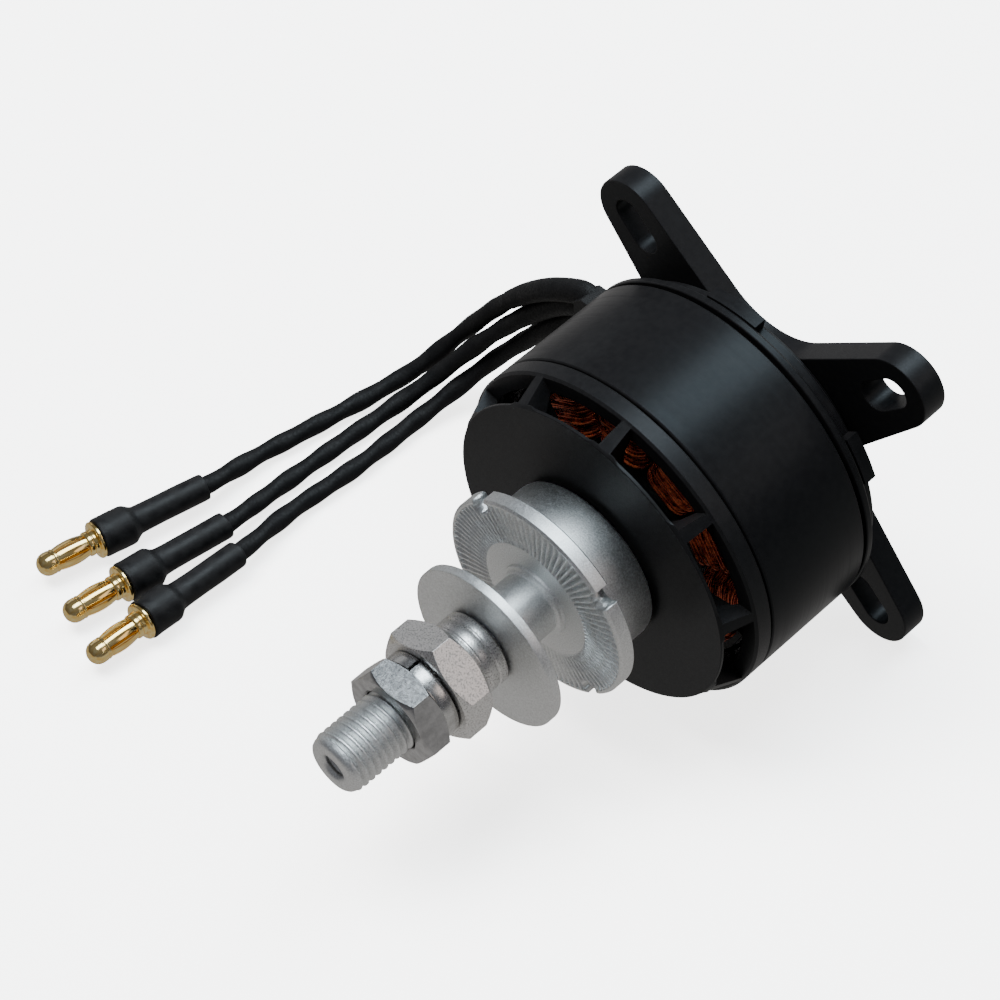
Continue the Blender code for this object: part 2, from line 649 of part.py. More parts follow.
def smooth_route(points, spacing):
    """Read a cardinal spline through the route's points at an even spacing, with both ends kept."""
    padded = [points[0] * 2 - points[1]] + points + [points[-1] * 2 - points[-2]]
    dense = [points[0]]
    for before, start, end, after in zip(padded, padded[1:], padded[2:], padded[3:]):
        enter = (end - before) / 2
        leave = (after - start) / 2
        for step in range(1, CURVE_STEPS + 1):
            t = step / CURVE_STEPS
            dense.append(start * (2 * t**3 - 3 * t**2 + 1) + enter * (t**3 - 2 * t**2 + t)
                         + end * (3 * t**2 - 2 * t**3) + leave * (t**3 - t**2))
    lengths = [0.0]
    for start, end in zip(dense, dense[1:]):
        lengths.append(lengths[-1] + (end - start).length)
    count = round(lengths[-1] / spacing)
    route = []
    place = 0
    for number in range(count + 1):
        target = lengths[-1] * number / count
        while place < len(dense) - 2 and lengths[place + 1] < target:
            place += 1
        share = (target - lengths[place]) / (lengths[place + 1] - lengths[place])
        route.append(dense[place].lerp(dense[place + 1], share))
    return route


def make_lead(name, points):
    curve = bpy.data.curves.new(name, "CURVE")
    curve.dimensions = "3D"
    curve.bevel_depth = LEAD_RADIUS * MM
    curve.bevel_resolution = 2
    curve.use_fill_caps = True
    route = smooth_route(points, LEAD_SPACING)
    spline = curve.splines.new("POLY")
    spline.points.add(len(route) - 1)
    for point, place in zip(spline.points, route):
        point.co = (*(place * MM), 1.0)
    curve.materials.append(black_sleeve())
    lead = bpy.data.objects.new(name, curve)
    bpy.context.scene.collection.objects.link(lead)


def make_plugs_and_leads():
    """Each plug lies along its own line: pin, collar and solder cup, under a heat-shrink sleeve."""
    for letter, (nose, end) in PLUGS.items():
        nose = Vector((*nose, PLUG_HEIGHT))
        along = (Vector((*end, PLUG_HEIGHT)) - nose).normalized()
        turn = along.to_track_quat("Z", "Y").to_euler()
        plug = turned(f"plug_{letter}", PLUG_PROFILE, None, gold(), False, 14)
        sleeve = turned(f"heat_shrink_{letter}", SLEEVE_PROFILE, None, black_sleeve(), True, 14)
        for item in (plug, sleeve):
            item.location = nose * MM
            item.rotation_euler = turn
        start = [nose + along * distance for distance in LEAD_STARTS]
        make_lead(f"lead_{letter}", start + [Vector(point) for point in ROUTES[letter]])


def make_frame(name, parent):
    empty = bpy.data.objects.new(name, None)
    bpy.context.scene.collection.objects.link(empty)
    empty.parent = parent
    return empty


def main():
    remove_startup_objects()
    frame = make_frame("motor_frame", None)
    frame.location = (0, AXIS_SHIFT * MM, AXIS_HEIGHT * MM)
    frame.rotation_euler = (math.radians(90) + TILT, 0, 0)
    rotor = make_frame("rotor_frame", frame)
    make_rear_mount(frame)
    make_mount_screws(frame)
    make_base(frame)
    make_bearing_tube(frame)
    make_bearings(frame, rotor)
    make_stator(frame)
    make_coils(frame)
    make_grommet(frame)
    make_shaft(rotor)
    make_can(rotor)
    make_magnets(rotor)
    make_front_cap(rotor)
    make_adapter(rotor)
    make_washer(rotor)
    make_nuts(rotor)
    make_spring_washer(rotor)
    make_plugs_and_leads()


main()
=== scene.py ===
"""Looks of the brushless outrunner motor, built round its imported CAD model.

Lengths in the constants are millimetres and angles are degrees. The motor's pieces are drawn along the
shaft, local +Z forward, and stand where the CAD hinge says. The leads are drawn in the shared frame.
"""
import json
import math
import random

import bmesh
import bpy
from mathutils import Matrix, Vector


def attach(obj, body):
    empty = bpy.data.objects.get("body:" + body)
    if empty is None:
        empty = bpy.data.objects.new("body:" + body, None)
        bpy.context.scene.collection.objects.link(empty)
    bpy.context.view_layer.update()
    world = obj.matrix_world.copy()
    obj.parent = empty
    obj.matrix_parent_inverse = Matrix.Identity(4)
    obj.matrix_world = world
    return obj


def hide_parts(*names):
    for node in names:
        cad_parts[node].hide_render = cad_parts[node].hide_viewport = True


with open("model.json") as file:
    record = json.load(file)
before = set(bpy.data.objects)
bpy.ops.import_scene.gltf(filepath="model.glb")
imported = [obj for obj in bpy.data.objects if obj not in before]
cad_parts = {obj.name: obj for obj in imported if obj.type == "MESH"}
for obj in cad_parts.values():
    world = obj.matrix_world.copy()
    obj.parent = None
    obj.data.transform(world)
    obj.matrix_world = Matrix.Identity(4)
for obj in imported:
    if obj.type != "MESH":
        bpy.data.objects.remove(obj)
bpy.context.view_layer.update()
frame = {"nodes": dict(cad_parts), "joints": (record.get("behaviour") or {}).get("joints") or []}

MM = 0.001
TINY = 1e-6
HINGE = frame["joints"][0]
FORWARD = Vector(HINGE["axis"]).normalized()
SIDEWAYS = Vector((1, 0, 0))
UPWARD = FORWARD.cross(SIDEWAYS)
AXES = Matrix((SIDEWAYS, UPWARD, FORWARD)).transposed().to_4x4()
PLACE = Matrix.Translation(Vector(HINGE["pos_m"])) @ AXES

# Camera. Its place is in millimetres in the shared frame
CAMERA_PLACE = (211.6, -239.25, 393.09)
CAMERA_RIGHT = (0.708, 0.7058, 0.02414)
CAMERA_DOWN = (0.53365, -0.5123, -0.67288)
CAMERA_LENS = 119.03

# Light that the floor sends up, and the width of the floor in metres
FLOOR_GLOW = (0.43, 0.42, 0.41)
FLOOR_WIDTH = 6.0

# Rear mount and its screws
MOUNT_THICKNESS = 4.5
ARM_ANGLES = (45, 135, 225, 315)
ARM_RADIUS = 36.5
ARM_TIP = 6.0
ARM_TAPER = 6.7
HUB_RADIUS = 16.6
SLOT_HALF = 2.5
SLOT_TRAVEL = 4.4
SHAFT_HOLE = 7.5
SCREW_CIRCLE = 14.0
POCKET_RADIUS = 3.1
POCKET_DEPTH = 2.4
SOCKET_RADIUS = 1.45
SOCKET_DEPTH = 1.7

# Base ring: a narrow body behind a wide lip, with pads on the lip and vents in the floor
BASE_BORE = 11.9
BASE_REAR = 4.8
BASE_FLOOR_FRONT = 6.8
BASE_BODY_INNER = 20.8
LIP_INNER = 25.6
LIP_REAR = 7.6
LIP_FRONT = 8.8
RIM_FRONT = 11.7
PAD_SPANS = ((81, 100), (22, 38), (261, 280), (202, 218))
PAD_HEIGHTS = (7.75, 9.95)
PAD_INNER = 25.9
PAD_OUTER = 28.5
VENT_INNER = 15.0
VENT_OUTER = 19.8
VENT_HALF_ANGLE = 24
VENT_ANGLES = (0, 90, 180, 270)

# Lead grommet, seen along the shaft
GROMMET_OUTLINE = [(-27.0, -4.6), (-32.0, -4.6), (-33.5, -3.1), (-33.5, 4.4), (-32.0, 5.9), (-27.0, 5.9)]
GROMMET_FRONT = 9.2
GROMMET_ROOT = [(-22.9, -4.6), (-27.6, -4.6), (-27.6, 5.9), (-22.9, 5.9)]
GROMMET_ROOT_FRONT = 7.3

# Can and cap
CAN_RADIUS = 28.9
CAN_BORE = 27.1
CAN_REAR = 12.3
CAN_FRONT = 32.3
RING_FRONT = 35.8
DISC_RADIUS = 26.4
DISC_FRONT = 40.65
DISC_BACK = 39.25
RIM_THICKNESS = 0.55
CAP_BORE = 4.3
CAP_HUB_RADIUS = 7.6
CAP_HUB_REAR = 34.2
WINDOWS = 10
FIRST_SPOKE = 11.0
WINDOW_REACH = 31.0
WINDOW_CORNER = 2.1
UNDER_RADIUS = 21.5
UNDER_CORNER = 1.3
SPOKE_HALF_INNER = 1.47
SPOKE_HALF_UNDER = 1.9
SPOKE_HALF_OUTER = 0.5
BLADE_HALF = 0.8
BLADE_REACH = (8.5, 25.6)
BLADE_HEIGHTS = (36.3, 39.9)

# Coils. One coil is wound round a tooth that lies along local +X
TEETH = 12
COIL_INNER = 16.3
COIL_HALF = 2.75
COIL_REAR = 12.6
COIL_FRONT = 32.9
COIL_CORNER = 2.1
WIRE_RADIUS = 0.23
BUNDLES = 3
BUNDLE_PITCH = 2.35
BUNDLE_TURNS = 5
TURN_PITCH = 0.39
LAYERS = 3

# Propeller adapter
BOSS_RADIUS = 13.8
FLANGE_RADIUS = 17.5
FLANGE_REAR = 49.2
FLANGE_FRONT = 51.9
SEAT_RADIUS = 10.0
TEETH_RADIUS = 16.5
TEETH_STEP = 0.5
SERRATIONS = 84
SERRATION_SIDES = 8
SERRATION_DEPTH = 0.80
SERRATION_SWEEP = 0.25
NOTCH_ANGLES = (40, 130, 220, 310)
NOTCH_REACH = (16.5, 19.0)
NOTCH_HALF = 1.5
THREAD_RADIUS = 5.0
THREAD_PITCH = 1.25
THREAD_DEPTH = 0.72
THREAD_STEP = 0.09
THREAD_SPAN = (80.9, 91.4)
SLEEVE_RADIUS = 5.2
STUD_CORE = 4.7
STUD_TIP = 92.7
END_HOLE = 1.95
END_HOLE_GROOVES = 9
END_HOLE_PITCH = 1.0

# Propeller washer. Its hole is shifted back by as much as its rim stands off the axis
WASHER_SPAN = (61.6, 63.2)
WASHER_RADIUS = 14.0
WASHER_BORE = 5.4
WASHER_OFFSET = (0.79, -0.42)
HOLE_SHIFT = 0.894
HOLE_DIRECTION = 152

# Nuts and spring washer. The collar is the big nut's profile behind its hexagon, with two turned bands
NUT_BORE = 5.05
NUT_CHAMFER_ANGLE = 38
NUT_SPAN = (68.9, 74.3)
NUT_FLATS = 16.6
NUT_TURN = 23.0
LOCK_NUT_SPAN = (76.9, 81.7)
LOCK_NUT_FLATS = 15.0
LOCK_NUT_TURN = 56.0
SPRING_INNER = 5.3
SPRING_OUTER = 7.1
SPRING_SPAN = (74.5, 76.7)
SPRING_START = 96
SPRING_TURN = 355
SPRING_LIFT = 0.18
SPRING_STEPS = 90
COLLAR = [(NUT_BORE, 63.5), (5.95, 63.5), (6.25, 63.8), (6.25, 65.1), (6.12, 65.2), (6.12, 65.5),
          (6.25, 65.6), (6.25, 67.2), (6.12, 67.3), (6.12, 67.6), (6.25, 67.7), (6.25, 68.9)]

# Leads and plugs, in the frame of the surface that the motor lies on
LEAD_RADIUS = 1.45
LEAD_ROOT = 2.6  # how far a lead runs on inside the grommet
ROUTE_SPACING = 0.6
CURVE_STEPS = 20  # steps of the smooth curve between two points of a route
BOOT_STEPS = 38
BOOT_RADIUS = 1.98
BOOT_THINNING = 0.44
BOOT_TAPER_START = 9
BOOT_TAPER_LENGTH = 13
PLUG_HEIGHT = 3.45
PLUG_LENGTH = 30.5
LEAVES = 6
LEAF_DEGREES = 41
LEAF_STEPS = 14
LEAF_REAR = 2.95
LEAF_LENGTH = 5.85
LEAF_THICKNESS = 0.22
LEAD_STARTS = (16.3, 22.0, 31.0)
PLUGS = {
    "a": ((-71.8, -43.6), (-66.9, -13.3)),
    "b": ((-61.5, -46.8), (-58.5, -16.9)),
    "c": ((-52.5, -49.6), (-52.6, -18.4)),
}
ROUTES = {
    "a": [(-67.0, -2.0, 2.0), (-65.9, 8.0, 1.8), (-64.2, 21.0, 2.0), (-61.6, 29.5, 4.8),
          (-58.2, 34.6, 10.5), (-52.4, 37.2, 19.2), (-46.6, 37.4, 26.2), (-40.5, 37.2, 31.8),
          (-34.3, 37.4, 35.4)],
    "b": [(-59.6, -4.0, 2.0), (-59.9, 9.0, 1.8), (-59.8, 19.0, 2.0), (-58.0, 27.5, 4.8),
          (-54.6, 33.2, 10.4), (-50.0, 36.6, 16.8), (-44.6, 38.3, 23.2), (-39.6, 38.8, 28.2),
          (-34.3, 38.4, 31.9)],
    "c": [(-54.4, -6.0, 2.0), (-54.4, 8.9, 1.8), (-55.0, 22.0, 2.0), (-53.9, 31.0, 4.6),
          (-50.7, 36.4, 9.8), (-45.7, 38.9, 16.4), (-41.5, 39.6, 21.4), (-38.0, 40.0, 25.0),
          (-34.3, 39.8, 28.6)],
}


# ---------------------------------------------------------------- camera, light and floor

def make_camera():
    data = bpy.data.cameras.new("camera")
    data.lens = CAMERA_LENS
    data.sensor_width = 36
    data.clip_start = 0.01
    camera = bpy.data.objects.new("camera", data)
    right = Vector(CAMERA_RIGHT).normalized()
    up = -Vector(CAMERA_DOWN)
    up = (up - right * up.dot(right)).normalized()
    turn = Matrix((right, up, right.cross(up))).transposed().to_4x4()
    camera.matrix_world = Matrix.Translation(Vector(CAMERA_PLACE) * MM) @ turn
    bpy.context.scene.collection.objects.link(camera)
    bpy.context.scene.camera = camera


def soft_box(name, direction, distance, size, brightness, color, glossy=True):
    """An area light that faces the motor. Distance and size are in metres, brightness is its radiance."""
    width, height = size
    data = bpy.data.lights.new(name, "AREA")
    data.shape = "RECTANGLE"
    data.size = width
    data.size_y = height
    data.energy = brightness * math.pi * width * height
    data.color = color
    light = bpy.data.objects.new(name, data)
    away = Vector(direction).normalized()
    light.location = away * distance
    light.rotation_mode = "QUATERNION"
    light.rotation_quaternion = away.to_track_quat("Z", "Y")
    light.visible_glossy = glossy
    bpy.context.scene.collection.objects.link(light)


def make_world():
    """Dim room with a dark horizon. Its lower half is the light that the floor sends back."""
    world = bpy.data.worlds.new("studio")
    world.use_nodes = True
    tree = world.node_tree
    coords = tree.nodes.new("ShaderNodeTexCoord")
    split = tree.nodes.new("ShaderNodeSeparateXYZ")
    height = tree.nodes.new("ShaderNodeMapRange")
    height.inputs["From Min"].default_value = -1.0
    ramp = tree.nodes.new("ShaderNodeValToRGB")
    stops = ((0.0, FLOOR_GLOW), (0.44, FLOOR_GLOW), (0.50, (0.10, 0.10, 0.11)),
             (0.66, (0.12, 0.12, 0.13)), (1.0, (0.20, 0.21, 0.23)))
    while len(ramp.color_ramp.elements) < len(stops):
        ramp.color_ramp.elements.new(0.5)
    for stop, (position, color) in zip(ramp.color_ramp.elements, stops):
        stop.position = position
        stop.color = (*color, 1.0)
    tree.links.new(coords.outputs["Generated"], split.inputs["Vector"])
    tree.links.new(split.outputs["Z"], height.inputs["Value"])
    tree.links.new(height.outputs["Result"], ramp.inputs["Fac"])
    tree.links.new(ramp.outputs["Color"], tree.nodes["Background"].inputs["Color"])
    bpy.context.scene.world = world


def make_floor():
    """A pale floor that only the camera sees, so the motor mirrors the calmer world instead."""
    bpy.ops.mesh.primitive_plane_add(size=FLOOR_WIDTH)
    floor = bpy.context.object
    floor.name = "floor"
    paint = bpy.data.materials.new("floor")
    paint.use_nodes = True
    shader = paint.node_tree.nodes["Principled BSDF"]
    shader.inputs["Base Color"].default_value = (0.90, 0.90, 0.895, 1.0)
    shader.inputs["Roughness"].default_value = 0.9
    shader.inputs["Specular IOR Level"].default_value = 0.0
    shader.inputs["Emission Color"].default_value = (1.0, 0.995, 0.985, 1.0)
    shader.inputs["Emission Strength"].default_value = 3.0
    floor.data.materials.append(paint)
    floor.visible_diffuse = False
    floor.visible_glossy = False
    floor.visible_shadow = False


def make_studio():
    soft_box("top_box", (-0.03, 0.41, 0.91), 1.2, (0.55, 1.7), 8.0, (0.80, 0.92, 1.0))
    soft_box("left_box", (-0.94, 0.15, 0.28), 1.4, (0.9, 0.45), 0.5, (1.0, 1.0, 1.0))
    soft_box("warm_box", (0.66, 0.43, 0.62), 1.5, (0.7, 0.6), 1.2, (1.0, 0.84, 0.76))
    soft_box("fill_box", (-0.40, -0.20, 1.0), 1.6, (0.9, 0.9), 26.0, (1.0, 0.99, 0.98), glossy=False)
    make_world()
    make_floor()


# ---------------------------------------------------------------- materials

def new_material(name, color, roughness, metallic):
    paint = bpy.data.materials.new(name)
    paint.use_nodes = True
    shader = paint.node_tree.nodes["Principled BSDF"]
    shader.inputs["Base Color"].default_value = (*color, 1.0)
    shader.inputs["Roughness"].default_value = roughness
    shader.inputs["Metallic"].default_value = metallic
    return paint, shader


def add_noise(paint, scale, detail=4.0, stretch=(1, 1, 1)):
    """Noise over the object's own coordinates, in metres."""
    tree = paint.node_tree
    coords = tree.nodes.new("ShaderNodeTexCoord")
    mapping = tree.nodes.new("ShaderNodeMapping")
    mapping.inputs["Scale"].default_value = stretch
    noise = tree.nodes.new("ShaderNodeTexNoise")
    noise.inputs["Scale"].default_value = scale
    noise.inputs["Detail"].default_value = detail
    tree.links.new(coords.outputs["Object"], mapping.inputs["Vector"])
    tree.links.new(mapping.outputs["Vector"], noise.inputs["Vector"])
    return noise.outputs["Fac"]


def add_ring_noise(paint, across, along):
    """Fine rings turned about the shaft axis: noise over (distance from the axis, height)."""
    tree = paint.node_tree
    coords = tree.nodes.new("ShaderNodeTexCoord")
    split = tree.nodes.new("ShaderNodeSeparateXYZ")
    flat = tree.nodes.new("ShaderNodeCombineXYZ")
    length = tree.nodes.new("ShaderNodeVectorMath")
    length.operation = "LENGTH"
    rings = tree.nodes.new("ShaderNodeCombineXYZ")
    mapping = tree.nodes.new("ShaderNodeMapping")
    mapping.inputs["Scale"].default_value = (across, 1, along)
    noise = tree.nodes.new("ShaderNodeTexNoise")
    noise.inputs["Scale"].default_value = 1.0
    noise.inputs["Detail"].default_value = 3.0
    links = tree.links
    links.new(coords.outputs["Object"], split.inputs["Vector"])
    links.new(split.outputs["X"], flat.inputs["X"])
    links.new(split.outputs["Y"], flat.inputs["Y"])
    links.new(flat.outputs["Vector"], length.inputs[0])
    links.new(length.outputs["Value"], rings.inputs["X"])
    links.new(split.outputs["Z"], rings.inputs["Z"])
    links.new(rings.outputs["Vector"], mapping.inputs["Vector"])
    links.new(mapping.outputs["Vector"], noise.inputs["Vector"])
    return noise.outputs["Fac"]


def vary(paint, shader, source, socket, low, high, near=0.35, far=0.65):
    """Drive a number socket from a noise output, between two values."""
    tree = paint.node_tree
    spread = tree.nodes.new("ShaderNodeMapRange")
    spread.inputs["From Min"].default_value = near
    spread.inputs["From Max"].default_value = far
    spread.inputs["To Min"].default_value = low
    spread.inputs["To Max"].default_value = high
    tree.links.new(source, spread.inputs["Value"])
    tree.links.new(spread.outputs["Result"], shader.inputs[socket])


def tint(paint, shader, source, dark, light, near=0.35, far=0.65):
    """Drive the base colour from a noise output, between two colours."""
    tree = paint.node_tree
    ramp = tree.nodes.new("ShaderNodeValToRGB")
    ramp.color_ramp.elements[0].position = near
    ramp.color_ramp.elements[0].color = (*dark, 1.0)
    ramp.color_ramp.elements[1].position = far
    ramp.color_ramp.elements[1].color = (*light, 1.0)
    tree.links.new(source, ramp.inputs["Fac"])
    tree.links.new(ramp.outputs["Color"], shader.inputs["Base Color"])


def add_bump(paint, shader, source, height):
    """Bump of a real height, in millimetres."""
    tree = paint.node_tree
    bump = tree.nodes.new("ShaderNodeBump")
    bump.inputs["Strength"].default_value = 1.0
    bump.inputs["Distance"].default_value = height * MM
    tree.links.new(source, bump.inputs["Height"])
    tree.links.new(bump.outputs["Normal"], shader.inputs["Normal"])


def black_turned():
    """Satin black anodised aluminium with fine turning rings."""
    paint, shader = new_material("black_turned", (0.005, 0.005, 0.0055), 0.32, 0.0)
    shader.inputs["Specular IOR Level"].default_value = 0.11
    shader.inputs["Specular Tint"].default_value = (0.80, 0.93, 1.0, 1.0)
    rings = add_ring_noise(paint, 5000, 5000)
    tint(paint, shader, add_noise(paint, 900), (0.0042, 0.0042, 0.0046), (0.0056, 0.0056, 0.006))
    vary(paint, shader, rings, "Roughness", 0.28, 0.36)
    add_bump(paint, shader, rings, 0.002)
    return paint


def black_milled():
    """The same finish on milled and flat pieces, with a fine even grain."""
    paint, shader = new_material("black_milled", (0.005, 0.005, 0.0055), 0.38, 0.0)
    shader.inputs["Specular IOR Level"].default_value = 0.16
    shader.inputs["Specular Tint"].default_value = (0.88, 0.95, 1.0, 1.0)
    grain = add_noise(paint, 5200, 3.0)
    tint(paint, shader, add_noise(paint, 900), (0.0042, 0.0042, 0.0046), (0.0056, 0.0056, 0.006))
    vary(paint, shader, grain, "Roughness", 0.33, 0.45)
    add_bump(paint, shader, grain, 0.005)
    return paint


def blasted_silver():
    """Bead-blasted aluminium: a bright, rough, sparkling grain."""
    paint, shader = new_material("blasted_silver", (0.76, 0.77, 0.77), 0.42, 1.0)
    grain = add_noise(paint, 4200, 3.0)
    tint(paint, shader, grain, (0.66, 0.67, 0.665), (0.90, 0.91, 0.905), 0.32, 0.68)
    vary(paint, shader, grain, "Roughness", 0.36, 0.52)
    add_bump(paint, shader, grain, 0.035)
    return paint


def speckled_steel():
    """Plated steel with small pits."""
    paint, shader = new_material("speckled_steel", (0.70, 0.69, 0.67), 0.30, 1.0)
    pits = add_noise(paint, 4200, 5.0)
    tint(paint, shader, pits, (0.46, 0.455, 0.44), (0.84, 0.83, 0.815), 0.36, 0.52)
    vary(paint, shader, pits, "Roughness", 0.46, 0.30, 0.36, 0.52)
    add_bump(paint, shader, pits, 0.009)
    return paint


def bright_steel():
    """Plated steel, smooth and bright, with a fine uneven grain."""
    paint, shader = new_material("bright_steel", (0.60, 0.60, 0.59), 0.24, 1.0)
    grain = add_noise(paint, 3200, 4.0)
    tint(paint, shader, add_noise(paint, 700), (0.50, 0.50, 0.49), (0.66, 0.66, 0.65))
    vary(paint, shader, grain, "Roughness", 0.20, 0.33)
    add_bump(paint, shader, grain, 0.003)
    return paint


def dark_steel():
    """Plated steel with a deep, smooth shine, for the lock nut."""
    paint, shader = new_material("dark_steel", (0.46, 0.46, 0.46), 0.20, 1.0)
    grain = add_noise(paint, 2600, 4.0)
    tint(paint, shader, add_noise(paint, 600), (0.40, 0.40, 0.40), (0.54, 0.54, 0.54))
    vary(paint, shader, grain, "Roughness", 0.17, 0.26)
    add_bump(paint, shader, grain, 0.002)
    return paint


def core_steel():
    """The side of a stack of thin steel sheets."""
    paint, shader = new_material("core_steel", (0.16, 0.16, 0.165), 0.42, 0.8)
    sheets = add_ring_noise(paint, 200, 3600)
    tint(paint, shader, sheets, (0.06, 0.06, 0.062), (0.22, 0.22, 0.225))
    add_bump(paint, shader, sheets, 0.03)
    return paint


def magnet_plate():
    paint, shader = new_material("magnet_plate", (0.42, 0.42, 0.43), 0.28, 1.0)
    grain = add_noise(paint, 1500)
    tint(paint, shader, grain, (0.34, 0.34, 0.35), (0.48, 0.48, 0.49))
    vary(paint, shader, grain, "Roughness", 0.22, 0.38)
    return paint


def enamelled_wire():
    """Copper wire under a clear orange-red enamel."""
    paint, shader = new_material("enamelled_wire", (0.60, 0.14, 0.05), 0.30, 0.85)
    patches = add_noise(paint, 900, 4.0)
    tint(paint, shader, patches, (0.26, 0.028, 0.012), (1.0, 0.22, 0.09))
    vary(paint, shader, patches, "Roughness", 0.20, 0.40)
    shader.inputs["Coat Weight"].default_value = 0.4
    shader.inputs["Coat Roughness"].default_value = 0.15
    return paint


def epoxy():
    paint, shader = new_material("epoxy", (0.02, 0.02, 0.02), 0.5, 0.0)
    grain = add_noise(paint, 1200)
    tint(paint, shader, grain, (0.010, 0.010, 0.010), (0.030, 0.030, 0.030))
    add_bump(paint, shader, grain, 0.03)
    return paint


def silicone_sleeve():
    """Woven black sleeve over the wires, soft and matte."""
    paint, shader = new_material("silicone_sleeve", (0.010, 0.010, 0.011), 0.62, 0.0)
    shader.inputs["Specular IOR Level"].default_value = 0.22
    weave = add_noise(paint, 2600, 5.0)
    tint(paint, shader, add_noise(paint, 420), (0.002, 0.002, 0.0022), (0.004, 0.004, 0.0042))
    vary(paint, shader, weave, "Roughness", 0.52, 0.72)
    add_bump(paint, shader, weave, 0.05)
    return paint


def heat_shrink():
    paint, shader = new_material("heat_shrink", (0.008, 0.008, 0.008), 0.52, 0.0)
    shader.inputs["Specular IOR Level"].default_value = 0.26
    wrinkles = add_noise(paint, 620, 5.0)
    tint(paint, shader, wrinkles, (0.003, 0.003, 0.0033), (0.007, 0.007, 0.0073))
    vary(paint, shader, wrinkles, "Roughness", 0.46, 0.60)
    add_bump(paint, shader, wrinkles, 0.05)
    return paint


def gold_plate():
    """Polished gold plate with faint drawing marks."""
    paint, shader = new_material("gold_plate", (1.0, 0.75, 0.30), 0.12, 1.0)
    marks = add_noise(paint, 1800, 3.0, (1, 1, 0.15))
    tint(paint, shader, marks, (0.96, 0.64, 0.20), (1.0, 0.80, 0.38))
    vary(paint, shader, marks, "Roughness", 0.08, 0.20)
    add_bump(paint, shader, marks, 0.006)
    return paint


PAINTS = {make.__name__: make() for make in (
    black_turned, black_milled, blasted_silver, speckled_steel, bright_steel, dark_steel, core_steel,
    magnet_plate, enamelled_wire, epoxy, silicone_sleeve, heat_shrink, gold_plate)}


# ---------------------------------------------------------------- mesh tools

def polar(radius, degrees):
    turn = math.radians(degrees)
    return radius * math.cos(turn), radius * math.sin(turn)


def arc(center, radius, start, end, steps):
    """Points on an arc, from one angle to another, with both ends."""
    points = []
    for step in range(steps + 1):
        x, y = polar(radius, start + (end - start) * step / steps)
        points.append((center[0] + x, center[1] + y))
    return points


def circle(center, radius, sides):
    return arc(center, radius, 0, 360 * (sides - 1) / sides, sides - 1)


def ring_sector(inner, outer, start, end, steps):
    return arc((0, 0), outer, start, end, steps) + arc((0, 0), inner, end, start, steps)


def add_object(name, shape, paint, placed=True, sharp=32):
    """Make an object from a bmesh in metres. A placed one is drawn along the shaft."""
    bmesh.ops.recalc_face_normals(shape, faces=shape.faces)
    mesh = bpy.data.meshes.new(name)
    shape.to_mesh(mesh)
    shape.free()
    mesh.shade_smooth()
    mesh.set_sharp_from_angle(angle=math.radians(sharp))
    if paint:
        mesh.materials.append(PAINTS[paint])
    item = bpy.data.objects.new(f"{name}_look", mesh)
    bpy.context.scene.collection.objects.link(item)
    if placed:
        item.matrix_world = PLACE
    return item


def repaint(mesh, paint):
    mesh.materials.clear()
    mesh.materials.append(PAINTS[paint])


def skin(shape, rings):
    """Join rings of points that have the same count, and close both ends."""
    for near, far in zip(rings, rings[1:]):
        for here in range(len(near)):
            there = (here + 1) % len(near)
            shape.faces.new((near[here], near[there], far[there], far[here]))
    shape.faces.new(rings[0])
    shape.faces.new(rings[-1])


def lathe(name, profile, paint, sides=160, closed=True, change=None, placed=True, sharp=32):
    """Turn (radius, height) points about local Z. change(radius, height, degrees) may move each point."""
    shape = bmesh.new()
    rings = []
    for radius, height in profile:
        if radius < TINY:
            rings.append([shape.verts.new((0, 0, height * MM))])
            continue
        ring = []
        for side in range(sides):
            degrees = 360 * side / sides
            far, high = change(radius, height, degrees) if change else (radius, height)
            x, y = polar(far, degrees)
            ring.append(shape.verts.new((x * MM, y * MM, high * MM)))
        rings.append(ring)
    pairs = list(zip(rings, rings[1:]))
    if closed:
        pairs.append((rings[-1], rings[0]))
    for near, far in pairs:
        for here in range(sides):
            there = (here + 1) % sides
            corners = [near[here % len(near)], near[there % len(near)],
                       far[there % len(far)], far[here % len(far)]]
            shape.faces.new(list(dict.fromkeys(corners)))
    return add_object(name, shape, paint, placed, sharp)


def bend(start, corner, end, steps):
    """Points on a smooth turn from a start to an end, drawn towards a corner."""
    points = []
    for step in range(steps + 1):
        t = step / steps
        points.append(tuple(start * (1 - t) ** 2 + corner * 2 * t * (1 - t) + end * t ** 2))
    return points


def rounded(profile, radius, steps=3, closed=True):
    """Round every corner of a profile by up to a radius. Nearly straight ones are left alone."""
    count = len(profile)
    straight = math.radians(172)
    points = []
    for index, here in enumerate(profile):
        if not closed and index in (0, count - 1):
            points.append(here)
            continue
        corner = Vector(here)
        before = Vector(profile[index - 1]) - corner
        after = Vector(profile[(index + 1) % count]) - corner
        if min(before.length, after.length) < TINY or before.angle(after) > straight:
            points.append(here)
            continue
        reach = min(radius, before.length * 0.45, after.length * 0.45)
        start = corner + before.normalized() * reach
        end = corner + after.normalized() * reach
        points += bend(start, corner, end, steps)
    return points


def raise_outline(shape, outline, low, high):
    """Raise a flat outline of (x, y) points from one height to another."""
    verts = [shape.verts.new((x * MM, y * MM, low * MM)) for x, y in outline]
    raised = bmesh.ops.extrude_face_region(shape, geom=[shape.faces.new(verts)])
    top = [item for item in raised["geom"] if isinstance(item, bmesh.types.BMVert)]
    bmesh.ops.translate(shape, verts=top, vec=(0, 0, (high - low) * MM))


def prisms(name, outlines, low, high, paint=None):
    """One object made of several separate prisms. Without a paint it is a cutting tool."""
    shape = bmesh.new()
    for outline in outlines:
        raise_outline(shape, outline, low, high)
    return add_object(name, shape, paint)


